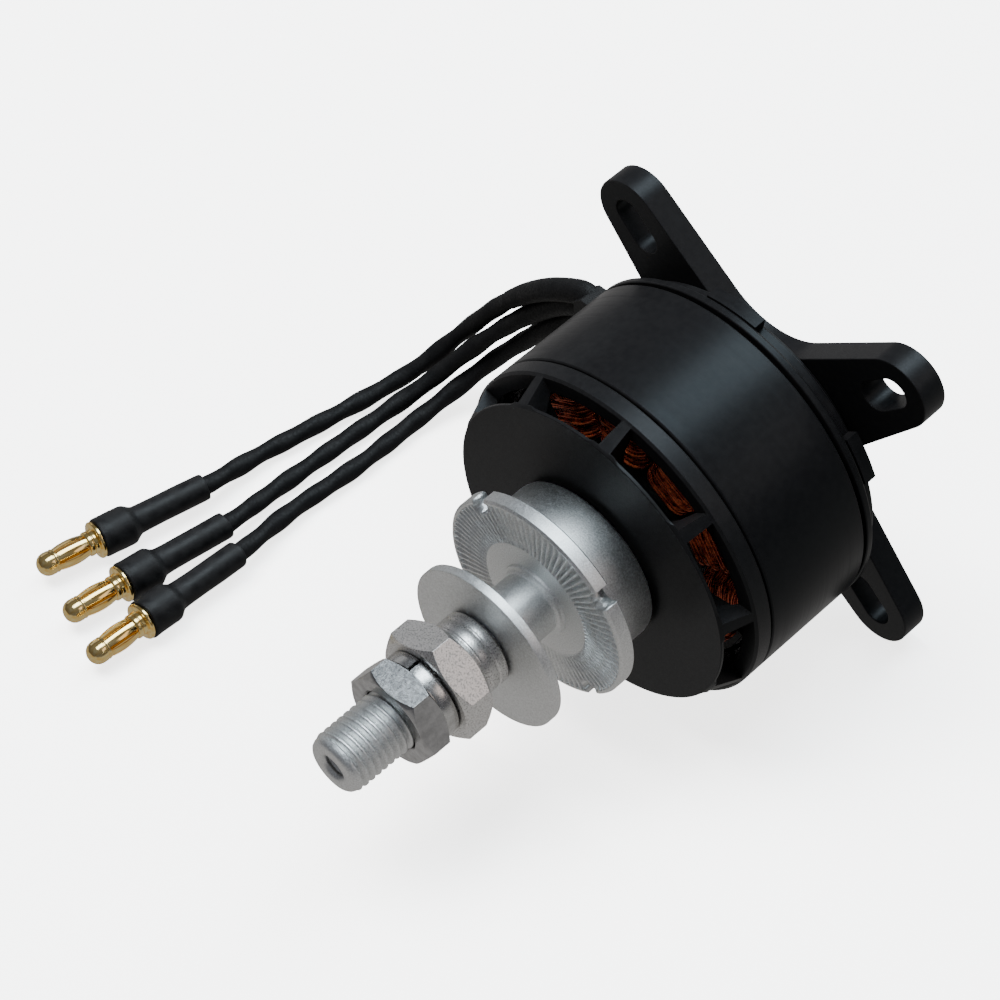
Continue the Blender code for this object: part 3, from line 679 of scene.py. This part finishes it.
def carve(item, tool, operation="DIFFERENCE"):
    """Cut with a tool, keep the result in the mesh and remove the tool."""
    change = item.modifiers.new("cut", "BOOLEAN")
    change.operation = operation
    change.object = tool
    change.solver = "EXACT"
    settle(item)
    bpy.data.objects.remove(tool, do_unlink=True)


def settle(item):
    """Turn an object's modifiers into plain mesh."""
    bpy.context.view_layer.update()
    graph = bpy.context.evaluated_depsgraph_get()
    mesh = bpy.data.meshes.new_from_object(item.evaluated_get(graph))
    item.modifiers.clear()
    item.data = mesh


def soften(item, width, segments=2, angle=32):
    """Bevel the sharp edges, and let the large faces set the shading."""
    item.data.shade_smooth()
    bevel = item.modifiers.new("edge", "BEVEL")
    bevel.width = width * MM
    bevel.segments = segments
    bevel.limit_method = "ANGLE"
    bevel.angle_limit = math.radians(angle)
    settle(item)
    item.data.shade_smooth()
    item.data.set_sharp_from_angle(angle=math.radians(40))
    normals = item.modifiers.new("normals", "WEIGHTED_NORMAL")
    normals.keep_sharp = True
    settle(item)


def hand_over(item, body, slot, *nodes):
    """Parent a finished piece to the empty of the body it rides on, and hide the CAD nodes it stands for.
    The slot is not used.
    """
    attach(item, body)
    if nodes:
        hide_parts(*nodes)


# ---------------------------------------------------------------- leads and plugs

def smooth_route(points, spacing):
    """Read a cardinal spline through the route's points at an even spacing, with both ends kept."""
    padded = [points[0] * 2 - points[1]] + points + [points[-1] * 2 - points[-2]]
    dense = [points[0]]
    for before, start, end, after in zip(padded, padded[1:], padded[2:], padded[3:]):
        enter = (end - before) / 2
        leave = (after - start) / 2
        for step in range(1, CURVE_STEPS + 1):
            t = step / CURVE_STEPS
            dense.append(start * (2 * t**3 - 3 * t**2 + 1) + enter * (t**3 - 2 * t**2 + t)
                         + end * (3 * t**2 - 2 * t**3) + leave * (t**3 - t**2))
    lengths = [0.0]
    for start, end in zip(dense, dense[1:]):
        lengths.append(lengths[-1] + (end - start).length)
    count = round(lengths[-1] / spacing)
    route = []
    place = 0
    for number in range(count + 1):
        target = lengths[-1] * number / count
        while place < len(dense) - 2 and lengths[place + 1] < target:
            place += 1
        share = (target - lengths[place]) / (lengths[place + 1] - lengths[place])
        route.append(dense[place].lerp(dense[place + 1], share))
    return route


def tube(name, route, radius_at, sides, paint):
    """A closed tube along a route in millimetres. radius_at(distance, degrees) gives its surface."""
    shape = bmesh.new()
    rings = []
    side = Vector((0, 0, 1))
    distance = 0.0
    for index, place in enumerate(route):
        ahead = route[min(index + 1, len(route) - 1)] - route[max(index - 1, 0)]
        along = ahead.normalized()
        side = (side - along * side.dot(along)).normalized()
        other = along.cross(side)
        if index:
            distance += (place - route[index - 1]).length
        ring = []
        for step in range(sides):
            degrees = 360 * step / sides
            x, y = polar(radius_at(distance, degrees), degrees)
            ring.append(shape.verts.new((place + side * x + other * y) * MM))
        rings.append(ring)
    skin(shape, rings)
    return add_object(name, shape, paint, placed=False, sharp=60)


def lead_surface(phase):
    """Sleeve over twisted wires: a slow helix of lumps and a few soft kinks."""
    def radius_at(distance, degrees):
        twist = math.radians(2 * degrees) + distance * 0.78 + phase
        kink = math.sin(distance * 0.47 + phase * 2.3) * 0.035
        return LEAD_RADIUS * (1.03 + 0.062 * math.sin(twist) + kink)
    return radius_at


def boot_surface(phase):
    """Outer sleeve round a lead where it leaves the motor. It thins out until it lies on the lead."""
    def radius_at(distance, degrees):
        lump = math.sin(math.radians(2 * degrees) + distance * 0.4 + phase)
        share = min(1.0, max(0.0, (distance - BOOT_TAPER_START) / BOOT_TAPER_LENGTH))
        return BOOT_RADIUS - BOOT_THINNING * share + 0.05 * lump
    return radius_at


def lantern_shape():
    """Spring leaves round the pin, each bowed outwards and narrowest in its middle."""
    shape = bmesh.new()
    for leaf in range(LEAVES):
        rows = []
        for step in range(LEAF_STEPS + 1):
            t = step / LEAF_STEPS
            height = LEAF_REAR + LEAF_LENGTH * t
            outer = 1.72 + 0.40 * math.sin(math.pi * t) ** 0.8
            span = LEAF_DEGREES / 2 * (1.0 - 0.12 * math.sin(math.pi * t))
            row = []
            for radius, places in ((outer, (-1, -0.5, 0, 0.5, 1)),
                                   (outer - LEAF_THICKNESS, (1, 0.5, 0, -0.5, -1))):
                for place in places:
                    x, y = polar(radius, 360 * leaf / LEAVES + span * place)
                    row.append(shape.verts.new((x * MM, y * MM, height * MM)))
            rows.append(row)
        skin(shape, rows)
    return shape


def lay_along(nose, along):
    """Matrix that lays local +Z along a plug, with its origin at the nose."""
    return Matrix.Translation(nose * MM) @ along.to_track_quat("Z", "Y").to_matrix().to_4x4()


def make_plug(letter, nose, along):
    """Bullet pin: round nose, groove, a lantern of spring leaves, collar and flange."""
    body = [(0, 0), (0.55, 0.05), (1.05, 0.25), (1.5, 0.62), (1.8, 1.1), (1.93, 1.7), (1.93, 2.5),
            (1.82, 2.6), (1.82, 2.75), (1.93, 2.85), (1.93, 3.1), (1.2, 3.25), (1.2, 8.5), (1.85, 8.65),
            (2.05, 8.8), (2.05, 9.35), (1.95, 9.45), (1.95, 9.6), (2.05, 9.7), (2.05, 10.1), (2.85, 10.2),
            (3.1, 10.35), (3.1, 10.75), (2.4, 10.8), (2.4, 16.0), (0, 16.0)]
    pin = lathe(f"plug_{letter}", rounded(body, 0.12, 2, closed=False), "gold_plate", 64, closed=False,
                placed=False)
    lantern = add_object(f"plug_spring_{letter}", lantern_shape(), "gold_plate", placed=False)
    for item in (pin, lantern):
        item.matrix_world = lay_along(nose, along)
    hand_over(pin, "stator", "gold", f"plug_{letter}")
    hand_over(lantern, "stator", "gold")
    return pin, lantern


def make_heat_shrink(letter, nose, along, phase):
    """Wide over the solder cup, drawn in to the lead, with uneven walls and a square-cut end."""
    profile = [(2.5, 11.05), (2.95, 10.95), (3.25, 11.0), (3.34, 11.2), (3.30, 12.4), (3.33, 14.2),
               (3.34, 16.0), (3.24, 16.4), (2.60, 17.3), (2.36, 17.8), (2.30, 19.2), (2.25, 22.0),
               (2.27, 26.0), (2.24, 29.6), (2.22, 30.3), (2.15, PLUG_LENGTH), (1.6, PLUG_LENGTH),
               (1.55, 30.0), (1.55, 18.2), (2.5, 16.2)]

    def uneven(radius, height, degrees):
        angle = math.radians(degrees)
        lump = math.sin(3 * angle + height * 0.5 + phase) + math.sin(2 * angle - height * 0.9 + phase)
        return radius * (0.985 + 0.007 * lump), height + 0.12 * math.sin(2 * angle + phase)

    sleeve = lathe(f"heat_shrink_{letter}", rounded(profile, 0.25), "heat_shrink", 56, change=uneven,
                   placed=False)
    sleeve.matrix_world = lay_along(nose, along)
    hand_over(sleeve, "stator", "heat_shrink", f"heat_shrink_{letter}")
    return sleeve


def make_leads():
    """Each lead is one cord, from inside the grommet to its plug, with the pieces that sit on it."""
    for order, (letter, (nose, end)) in enumerate(PLUGS.items()):
        nose = Vector((*nose, PLUG_HEIGHT))
        along = (Vector((*end, PLUG_HEIGHT)) - nose).normalized()
        pieces = [*make_plug(letter, nose, along), make_heat_shrink(letter, nose, along, order * 1.7)]
        points = [nose + along * distance for distance in LEAD_STARTS]
        points += [Vector(point) for point in ROUTES[letter]]
        points.append(points[-1] + Vector((LEAD_ROOT, 0, 0)))
        route = smooth_route(points, ROUTE_SPACING)[::-1]
        lead = tube(f"lead_{letter}", route, lead_surface(order * 2.1), 20, "silicone_sleeve")
        hand_over(lead, "stator", "sleeve", f"lead_{letter}")
        boot = tube(f"lead_boot_{letter}", route[:BOOT_STEPS], boot_surface(order * 1.3), 28,
                    "silicone_sleeve")
        hand_over(boot, "stator", "sleeve")
        pieces.append(boot)


# ---------------------------------------------------------------- fixed side

def mount_outline():
    """X outline: each arm's sides taper to a round tip, and an arc joins each pair of arms."""
    taper = math.radians(ARM_TAPER)
    lean = (math.sin(taper) + math.cos(taper)) / math.sqrt(2)
    side = ARM_RADIUS * math.sin(taper) + ARM_TIP
    fillet = (HUB_RADIUS * lean - side) / (1 - lean)
    square = 90 - ARM_TAPER
    points = []
    for angle in ARM_ANGLES:
        points += arc(polar(ARM_RADIUS, angle), ARM_TIP, angle - square, angle + square, 28)
        center = polar(HUB_RADIUS + fillet, angle + 45)
        points += arc(center, fillet, angle - 90 - ARM_TAPER, angle - 180 + ARM_TAPER, 20)
    return points


def stadium(angle, inner, outer, half):
    """A slot outline along a ray at an angle, between two arc centres."""
    return (arc(polar(outer, angle), half, angle - 90, angle + 90, 16)
            + arc(polar(inner, angle), half, angle + 90, angle + 270, 16))


def make_mount():
    """Flat X with a slot in each arm, a hole for the shaft and pockets for the screw heads."""
    mount = prisms("rear_mount", [mount_outline()], 0, MOUNT_THICKNESS, "black_milled")
    through = [stadium(angle, ARM_RADIUS - SLOT_TRAVEL, ARM_RADIUS, SLOT_HALF) for angle in ARM_ANGLES]
    through.append(circle((0, 0), SHAFT_HOLE, 64))
    carve(mount, prisms("through", through, -1, MOUNT_THICKNESS + 1))
    pockets = [circle(polar(SCREW_CIRCLE, angle), POCKET_RADIUS, 40) for angle in ARM_ANGLES]
    carve(mount, prisms("pockets", pockets, -1, POCKET_DEPTH))
    soften(mount, 0.22, 2)
    hand_over(mount, "stator", "black_anodised", "rear_mount")


def make_screws():
    """Socket-head screws in the pockets of the mount's back."""
    profile = [(0, 0.35), (2.4, 0.35), (2.7, 0.65), (2.7, 2.15), (1.4, 2.2), (1.4, 6.3), (0, 6.3)]
    for number, angle in enumerate(ARM_ANGLES, 1):
        screw = lathe(f"mount_screw_{number}", rounded(profile, 0.12, 2, closed=False), "bright_steel", 48,
                      closed=False)
        socket = [polar(SOCKET_RADIUS, 60 * corner + 12 * number) for corner in range(6)]
        carve(screw, prisms("socket", [socket], -0.5, SOCKET_DEPTH))
        screw.matrix_world = PLACE @ Matrix.Translation(Vector((*polar(SCREW_CIRCLE, angle), 0)) * MM)
        hand_over(screw, "stator", "plated_steel", f"mount_screw_{number}")


def make_base():
    """A cup behind the windings, and a wider lip with a shoulder that the can turns in front of."""
    profile = [(BASE_BORE, BASE_REAR), (22.1, BASE_REAR), (22.4, 5.1), (22.4, 7.3), (22.7, LIP_REAR),
               (26.35, LIP_REAR), (26.6, 7.85), (26.6, 9.5), (28.0, 9.9), (28.35, 10.2), (CAN_RADIUS, 10.6),
               (CAN_RADIUS, 11.55), (28.75, RIM_FRONT), (LIP_INNER, RIM_FRONT), (LIP_INNER, LIP_FRONT),
               (BASE_BODY_INNER, LIP_FRONT), (BASE_BODY_INNER, BASE_FLOOR_FRONT),
               (BASE_BORE, BASE_FLOOR_FRONT)]
    base = lathe("base_ring", rounded(profile, 0.15, 2), "black_turned", 180)
    pads = [ring_sector(PAD_INNER, PAD_OUTER, start, end, 14) for start, end in PAD_SPANS]
    carve(base, prisms("pads", pads, *PAD_HEIGHTS), "UNION")
    vents = [ring_sector(VENT_INNER, VENT_OUTER, angle - VENT_HALF_ANGLE, angle + VENT_HALF_ANGLE, 16)
             for angle in VENT_ANGLES]
    carve(base, prisms("vents", vents, 3, 7.5))
    repaint(base.data, "black_turned")
    soften(base, 0.14, 1, 50)
    hand_over(base, "stator", "black_anodised", "base_ring")


def make_grommet():
    """A rubber block outside the lip, with a root under the lip that meets the base ring's cup."""
    block = prisms("lead_grommet", [GROMMET_OUTLINE], BASE_REAR, GROMMET_FRONT, "heat_shrink")
    carve(block, prisms("root", [GROMMET_ROOT], BASE_REAR, GROMMET_ROOT_FRONT), "UNION")
    repaint(block.data, "heat_shrink")
    soften(block, 0.7, 4)
    hand_over(block, "stator", "grommet", "lead_grommet")


def coil_path(rng):
    """One long wire round a tooth. Its turns lie in rope-like bundles, layer on layer."""
    points = []
    turns = BUNDLES * BUNDLE_TURNS
    for layer in range(LAYERS):
        order = range(turns) if layer % 2 == 0 else range(turns - 1, -1, -1)
        for turn in order:
            bundle, place = divmod(turn, BUNDLE_TURNS)
            bulge = math.sin(math.pi * (place + 0.5) / BUNDLE_TURNS)
            radius = COIL_INNER + BUNDLE_PITCH * bundle + TURN_PITCH * place + rng.uniform(-0.12, 0.12)
            half = COIL_HALF + 0.50 * layer + 0.22 * bundle + 0.42 * bulge + rng.uniform(-0.12, 0.12)
            top = COIL_FRONT + (0.55 * layer + 0.1) * bulge + rng.uniform(-0.12, 0.15)
            bottom = COIL_REAR - 0.55 * layer * bulge
            tilt = rng.uniform(-0.35, 0.35)
            corner = min(half - 0.2, COIL_CORNER)
            for x, z, start in ((1, 1, 0), (-1, 1, 90), (-1, -1, 180), (1, -1, 270)):
                center = (x * (half - corner), (top if z > 0 else bottom) - z * corner)
                for sideways, along in arc(center, corner, start, start + 90, 4):
                    points.append((radius + tilt * sideways / half, sideways, along))
    return points


def make_coils():
    """A wound wire on each tooth, with its own small unevenness from one seeded draw."""
    rng = random.Random(12)
    for number in range(TEETH):
        curve = bpy.data.curves.new("wire", "CURVE")
        curve.dimensions = "3D"
        curve.bevel_depth = WIRE_RADIUS * MM
        curve.bevel_resolution = 1
        curve.use_fill_caps = True
        spline = curve.splines.new("POLY")
        points = coil_path(rng)
        spline.points.add(len(points) - 1)
        for point, place in zip(spline.points, points):
            point.co = (*(Vector(place) * MM), 1.0)
        wire = bpy.data.objects.new("wire", curve)
        bpy.context.scene.collection.objects.link(wire)
        graph = bpy.context.evaluated_depsgraph_get()
        mesh = bpy.data.meshes.new_from_object(wire.evaluated_get(graph))
        bpy.data.objects.remove(wire, do_unlink=True)
        repaint(mesh, "enamelled_wire")
        mesh.shade_smooth()
        coil = bpy.data.objects.new(f"coil_{number + 1:02d}_wire", mesh)
        bpy.context.scene.collection.objects.link(coil)
        coil.matrix_world = PLACE @ Matrix.Rotation(math.radians(360 * number / TEETH), 4, "Z")
        hand_over(coil, "stator", "copper", f"coil_{number + 1:02d}")


# ---------------------------------------------------------------- turning side

def make_can():
    profile = [(CAN_BORE, CAN_REAR), (28.6, CAN_REAR), (CAN_RADIUS, CAN_REAR + 0.3),
               (CAN_RADIUS, CAN_FRONT - 0.22), (CAN_RADIUS - 0.22, CAN_FRONT), (CAN_BORE, CAN_FRONT)]
    can = lathe("rotor_can", rounded(profile, 0.10, 2), "black_turned", 256, sharp=45)
    hand_over(can, "rotor", "black_anodised", "rotor_can")


def window_outline(number, inner, inner_half, corner):
    """Opening between two spokes, with rounded corners on its inner side."""
    middle = FIRST_SPOKE + 360 * (number + 0.5) / WINDOWS
    inner_turn = 180 / WINDOWS - math.degrees(math.asin(inner_half / inner))
    outer_turn = 180 / WINDOWS - math.degrees(math.asin(SPOKE_HALF_OUTER / WINDOW_REACH))
    inset = math.degrees(corner / inner)
    bends = []
    for side in (1, -1):
        tip = Vector(polar(inner, middle + side * inner_turn))
        far = Vector(polar(WINDOW_REACH, middle + side * outer_turn))
        along = Vector(polar(inner, middle + side * (inner_turn - inset)))
        bends.append(bend(tip + (far - tip).normalized() * corner, tip, along, 6))
    outer = arc((0, 0), WINDOW_REACH, middle - outer_turn, middle + outer_turn, 12)
    side = arc((0, 0), inner, middle + inner_turn - inset, middle - inner_turn + inset, 20)
    return outer + bends[0][:-1] + side + bends[1][-2::-1]


def blade_outline(angle):
    """A fan blade behind the disc, straight along one ray."""
    along = Vector(polar(1, angle))
    across = Vector(polar(BLADE_HALF, angle + 90))
    inner, outer = BLADE_REACH
    return [tuple(along * far + across * side)
            for far, side in ((inner, -1), (outer, -1), (outer, 1), (inner, 1))]


def make_cap():
    """A disc and a ring joined by ten spokes. The windows are cut narrow in front and wide behind."""
    profile = [(CAP_BORE, CAP_HUB_REAR), (CAP_HUB_RADIUS, CAP_HUB_REAR), (CAP_HUB_RADIUS, DISC_BACK),
               (23.0, DISC_BACK), (26.6, 35.2), (CAN_BORE, 34.6), (CAN_BORE, CAN_FRONT + 0.3),
               (CAN_RADIUS - 0.2, CAN_FRONT + 0.3), (CAN_RADIUS, CAN_FRONT + 0.5), (CAN_RADIUS, 35.4),
               (28.5, RING_FRONT), (26.75, 40.2), (26.3, DISC_FRONT), (CAP_BORE, DISC_FRONT)]
    cap = lathe("front_cap", profile, "black_milled", 240)
    blades = [blade_outline(FIRST_SPOKE + 360 * number / WINDOWS) for number in range(WINDOWS)]
    carve(cap, prisms("blades", blades, *BLADE_HEIGHTS), "UNION")
    fronts = [window_outline(number, DISC_RADIUS, SPOKE_HALF_INNER, WINDOW_CORNER)
              for number in range(WINDOWS)]
    carve(cap, prisms("fronts", fronts, RING_FRONT, 43))
    unders = [window_outline(number, UNDER_RADIUS, SPOKE_HALF_UNDER, UNDER_CORNER)
              for number in range(WINDOWS)]
    carve(cap, prisms("unders", unders, RING_FRONT, DISC_FRONT - RIM_THICKNESS))
    repaint(cap.data, "black_milled")
    soften(cap, 0.16, 2, 34)
    hand_over(cap, "rotor", "black_anodised", "front_cap")


def serrate(radius, height, degrees):
    """Narrow V grooves between flat ridges, nearly radial, all over the propeller seat."""
    if abs(height - FLANGE_FRONT) > 0.01 or not SEAT_RADIUS < radius < TEETH_RADIUS + 0.05:
        return radius, height
    phase = SERRATIONS * (degrees - SERRATION_SWEEP * (radius - SEAT_RADIUS)) / 360
    groove = max(0.0, 1 - 2.7 * abs(phase - math.floor(phase) - 0.5))
    return radius, height - SERRATION_DEPTH * groove


def make_hub():
    """Boss and serrated flange, with four notches in the flange's edge."""
    rear = DISC_FRONT + 0.3
    profile = [(5.0, rear), (12.5, rear), (13.1, rear + 0.12), (13.6, rear + 0.55),
               (BOSS_RADIUS, rear + 1.3), (BOSS_RADIUS, FLANGE_REAR), (17.15, FLANGE_REAR),
               (FLANGE_RADIUS, FLANGE_REAR + 0.3), (FLANGE_RADIUS, FLANGE_FRONT - 0.35),
               (17.15, FLANGE_FRONT), (16.85, FLANGE_FRONT)]
    profile += [(TEETH_RADIUS - TEETH_STEP * step, FLANGE_FRONT) for step in range(14)]
    profile += [(9.9, FLANGE_FRONT), (5.0, FLANGE_FRONT)]
    hub = lathe("prop_adapter_hub", profile, "blasted_silver", SERRATIONS * SERRATION_SIDES, change=serrate)
    notches = [stadium(angle, *NOTCH_REACH, NOTCH_HALF) for angle in NOTCH_ANGLES]
    carve(hub, prisms("notches", notches, FLANGE_REAR - 1, FLANGE_FRONT + 1))
    hand_over(hub, "rotor", "blasted_silver", "prop_adapter")


def threaded(radius, height, degrees):
    """A helical V thread with slightly flat crests. The wall of the end hole stays as it is."""
    low, high = THREAD_SPAN
    if not low < height < high or radius < 4:
        return radius, height
    phase = (height - low) / THREAD_PITCH - degrees / 360
    ridge = 1 - abs(2 * (phase - math.floor(phase)) - 1)
    crest = min(1.0, ridge * 1.25)
    return radius - 0.05 - THREAD_DEPTH * (1 - crest), height


def make_stud():
    """Stepped foot, smooth sleeve, thread, and a threaded hole in the end."""
    low, high = THREAD_SPAN
    profile = [(0, 51.0), (6.2, 51.0), (6.2, 51.95), (6.05, 52.35), (5.65, 52.4), (5.55, 52.55),
               (5.45, 52.85), (SLEEVE_RADIUS, 52.95), (SLEEVE_RADIUS, 63.2), (4.75, 63.45),
               (STUD_CORE, low - 0.3)]
    profile += [(THREAD_RADIUS, low + THREAD_STEP * step)
                for step in range(1, int((high - low) / THREAD_STEP))]
    profile += [(STUD_CORE, 91.5), (4.62, 91.9), (4.4, 92.35), (4.05, STUD_TIP - 0.05), (3.9, STUD_TIP),
                (2.5, STUD_TIP), (2.3, STUD_TIP - 0.2), (END_HOLE, STUD_TIP - 0.6)]
    for groove in range(END_HOLE_GROOVES):
        profile += [(END_HOLE, 91.9 - groove * END_HOLE_PITCH), (2.2, 91.5 - groove * END_HOLE_PITCH)]
    profile += [(END_HOLE, 82.2), (0, 81.4)]
    stud = lathe("prop_adapter_stud", profile, "blasted_silver", 96, closed=False, change=threaded, sharp=50)
    hand_over(stud, "rotor", "blasted_silver")


def make_washer():
    """The washer's rim stands off centre, and its hole is centred on the stud."""
    low, high = WASHER_SPAN
    profile = rounded([(WASHER_BORE, low), (WASHER_RADIUS, low), (WASHER_RADIUS, high),
                       (WASHER_BORE, high)], 0.22)

    def shift_hole(radius, height, degrees):
        if radius < WASHER_RADIUS / 2:
            radius += HOLE_SHIFT * math.cos(math.radians(degrees - HOLE_DIRECTION))
        return radius, height

    washer = lathe("prop_washer", profile, "blasted_silver", 180, change=shift_hole)
    washer.matrix_world = PLACE @ Matrix.Translation(Vector((*WASHER_OFFSET, 0)) * MM)
    hand_over(washer, "rotor", "blasted_silver", "prop_washer")


def make_nut(name, collar, span, flats, turn, paint):
    """Hexagon nut with chamfered corners. The collar is its profile behind the hexagon, or nothing."""
    low, high = span
    hexagon_radius = flats / 2 / math.cos(math.radians(30))
    corner = hexagon_radius + 0.02
    face = flats / 2 - 0.05
    drop = (corner - face) * math.tan(math.radians(NUT_CHAMFER_ANGLE))
    profile = collar or [(NUT_BORE, low)]
    profile = profile + [(face, low), (corner, low + drop), (corner, high - drop), (face, high),
                         (NUT_BORE + 0.45, high), (NUT_BORE, high - 0.45)]
    nut = lathe(name, profile, paint, 144)
    outline = [polar(hexagon_radius, turn + 60 * step) for step in range(6)]
    carve(nut, prisms("sides", [outline], low - 8, high + 2), "INTERSECT")
    repaint(nut.data, paint)
    soften(nut, 0.09, 2, 28)
    hand_over(nut, "rotor", "plated_steel", name)


def make_spring_washer():
    """A square-section ring, cut once and sprung slightly along the shaft."""
    low, high = SPRING_SPAN
    section = rounded([(SPRING_INNER, low), (SPRING_OUTER, low), (SPRING_OUTER, high),
                       (SPRING_INNER, high)], 0.15, 2)
    shape = bmesh.new()
    rings = []
    for step in range(SPRING_STEPS + 1):
        share = step / SPRING_STEPS
        lift = SPRING_LIFT * (share - 0.5)
        ring = []
        for radius, height in section:
            x, y = polar(radius, SPRING_START + SPRING_TURN * share)
            ring.append(shape.verts.new((x * MM, y * MM, (height + lift) * MM)))
        rings.append(ring)
    skin(shape, rings)
    washer = add_object("spring_washer", shape, "bright_steel")
    hand_over(washer, "rotor", "plated_steel", "spring_washer")


# ---------------------------------------------------------------- inner CAD pieces that stay

INNER_PAINTS = {
    "bearing": "bright_steel", "shaft": "bright_steel", "retaining_ring": "bright_steel",
    "stator_core": "core_steel", "insulator": "epoxy", "magnet": "magnet_plate",
    "bearing_tube": "black_turned",
}


def paint_inner_nodes():
    """The longest matching start of a node's name decides its paint."""
    for name, node in frame["nodes"].items():
        matches = [start for start in INNER_PAINTS if name.startswith(start)]
        if matches:
            repaint(node.data, INNER_PAINTS[max(matches, key=len)])


make_camera()
make_leads()
make_studio()
make_mount()
make_screws()
make_base()
make_grommet()
make_coils()
make_can()
make_cap()
make_hub()
make_stud()
make_washer()
make_nut("prop_nut", COLLAR, NUT_SPAN, NUT_FLATS, NUT_TURN, "speckled_steel")
make_spring_washer()
make_nut("lock_nut", [], LOCK_NUT_SPAN, LOCK_NUT_FLATS, LOCK_NUT_TURN, "dark_steel")
paint_inner_nodes()
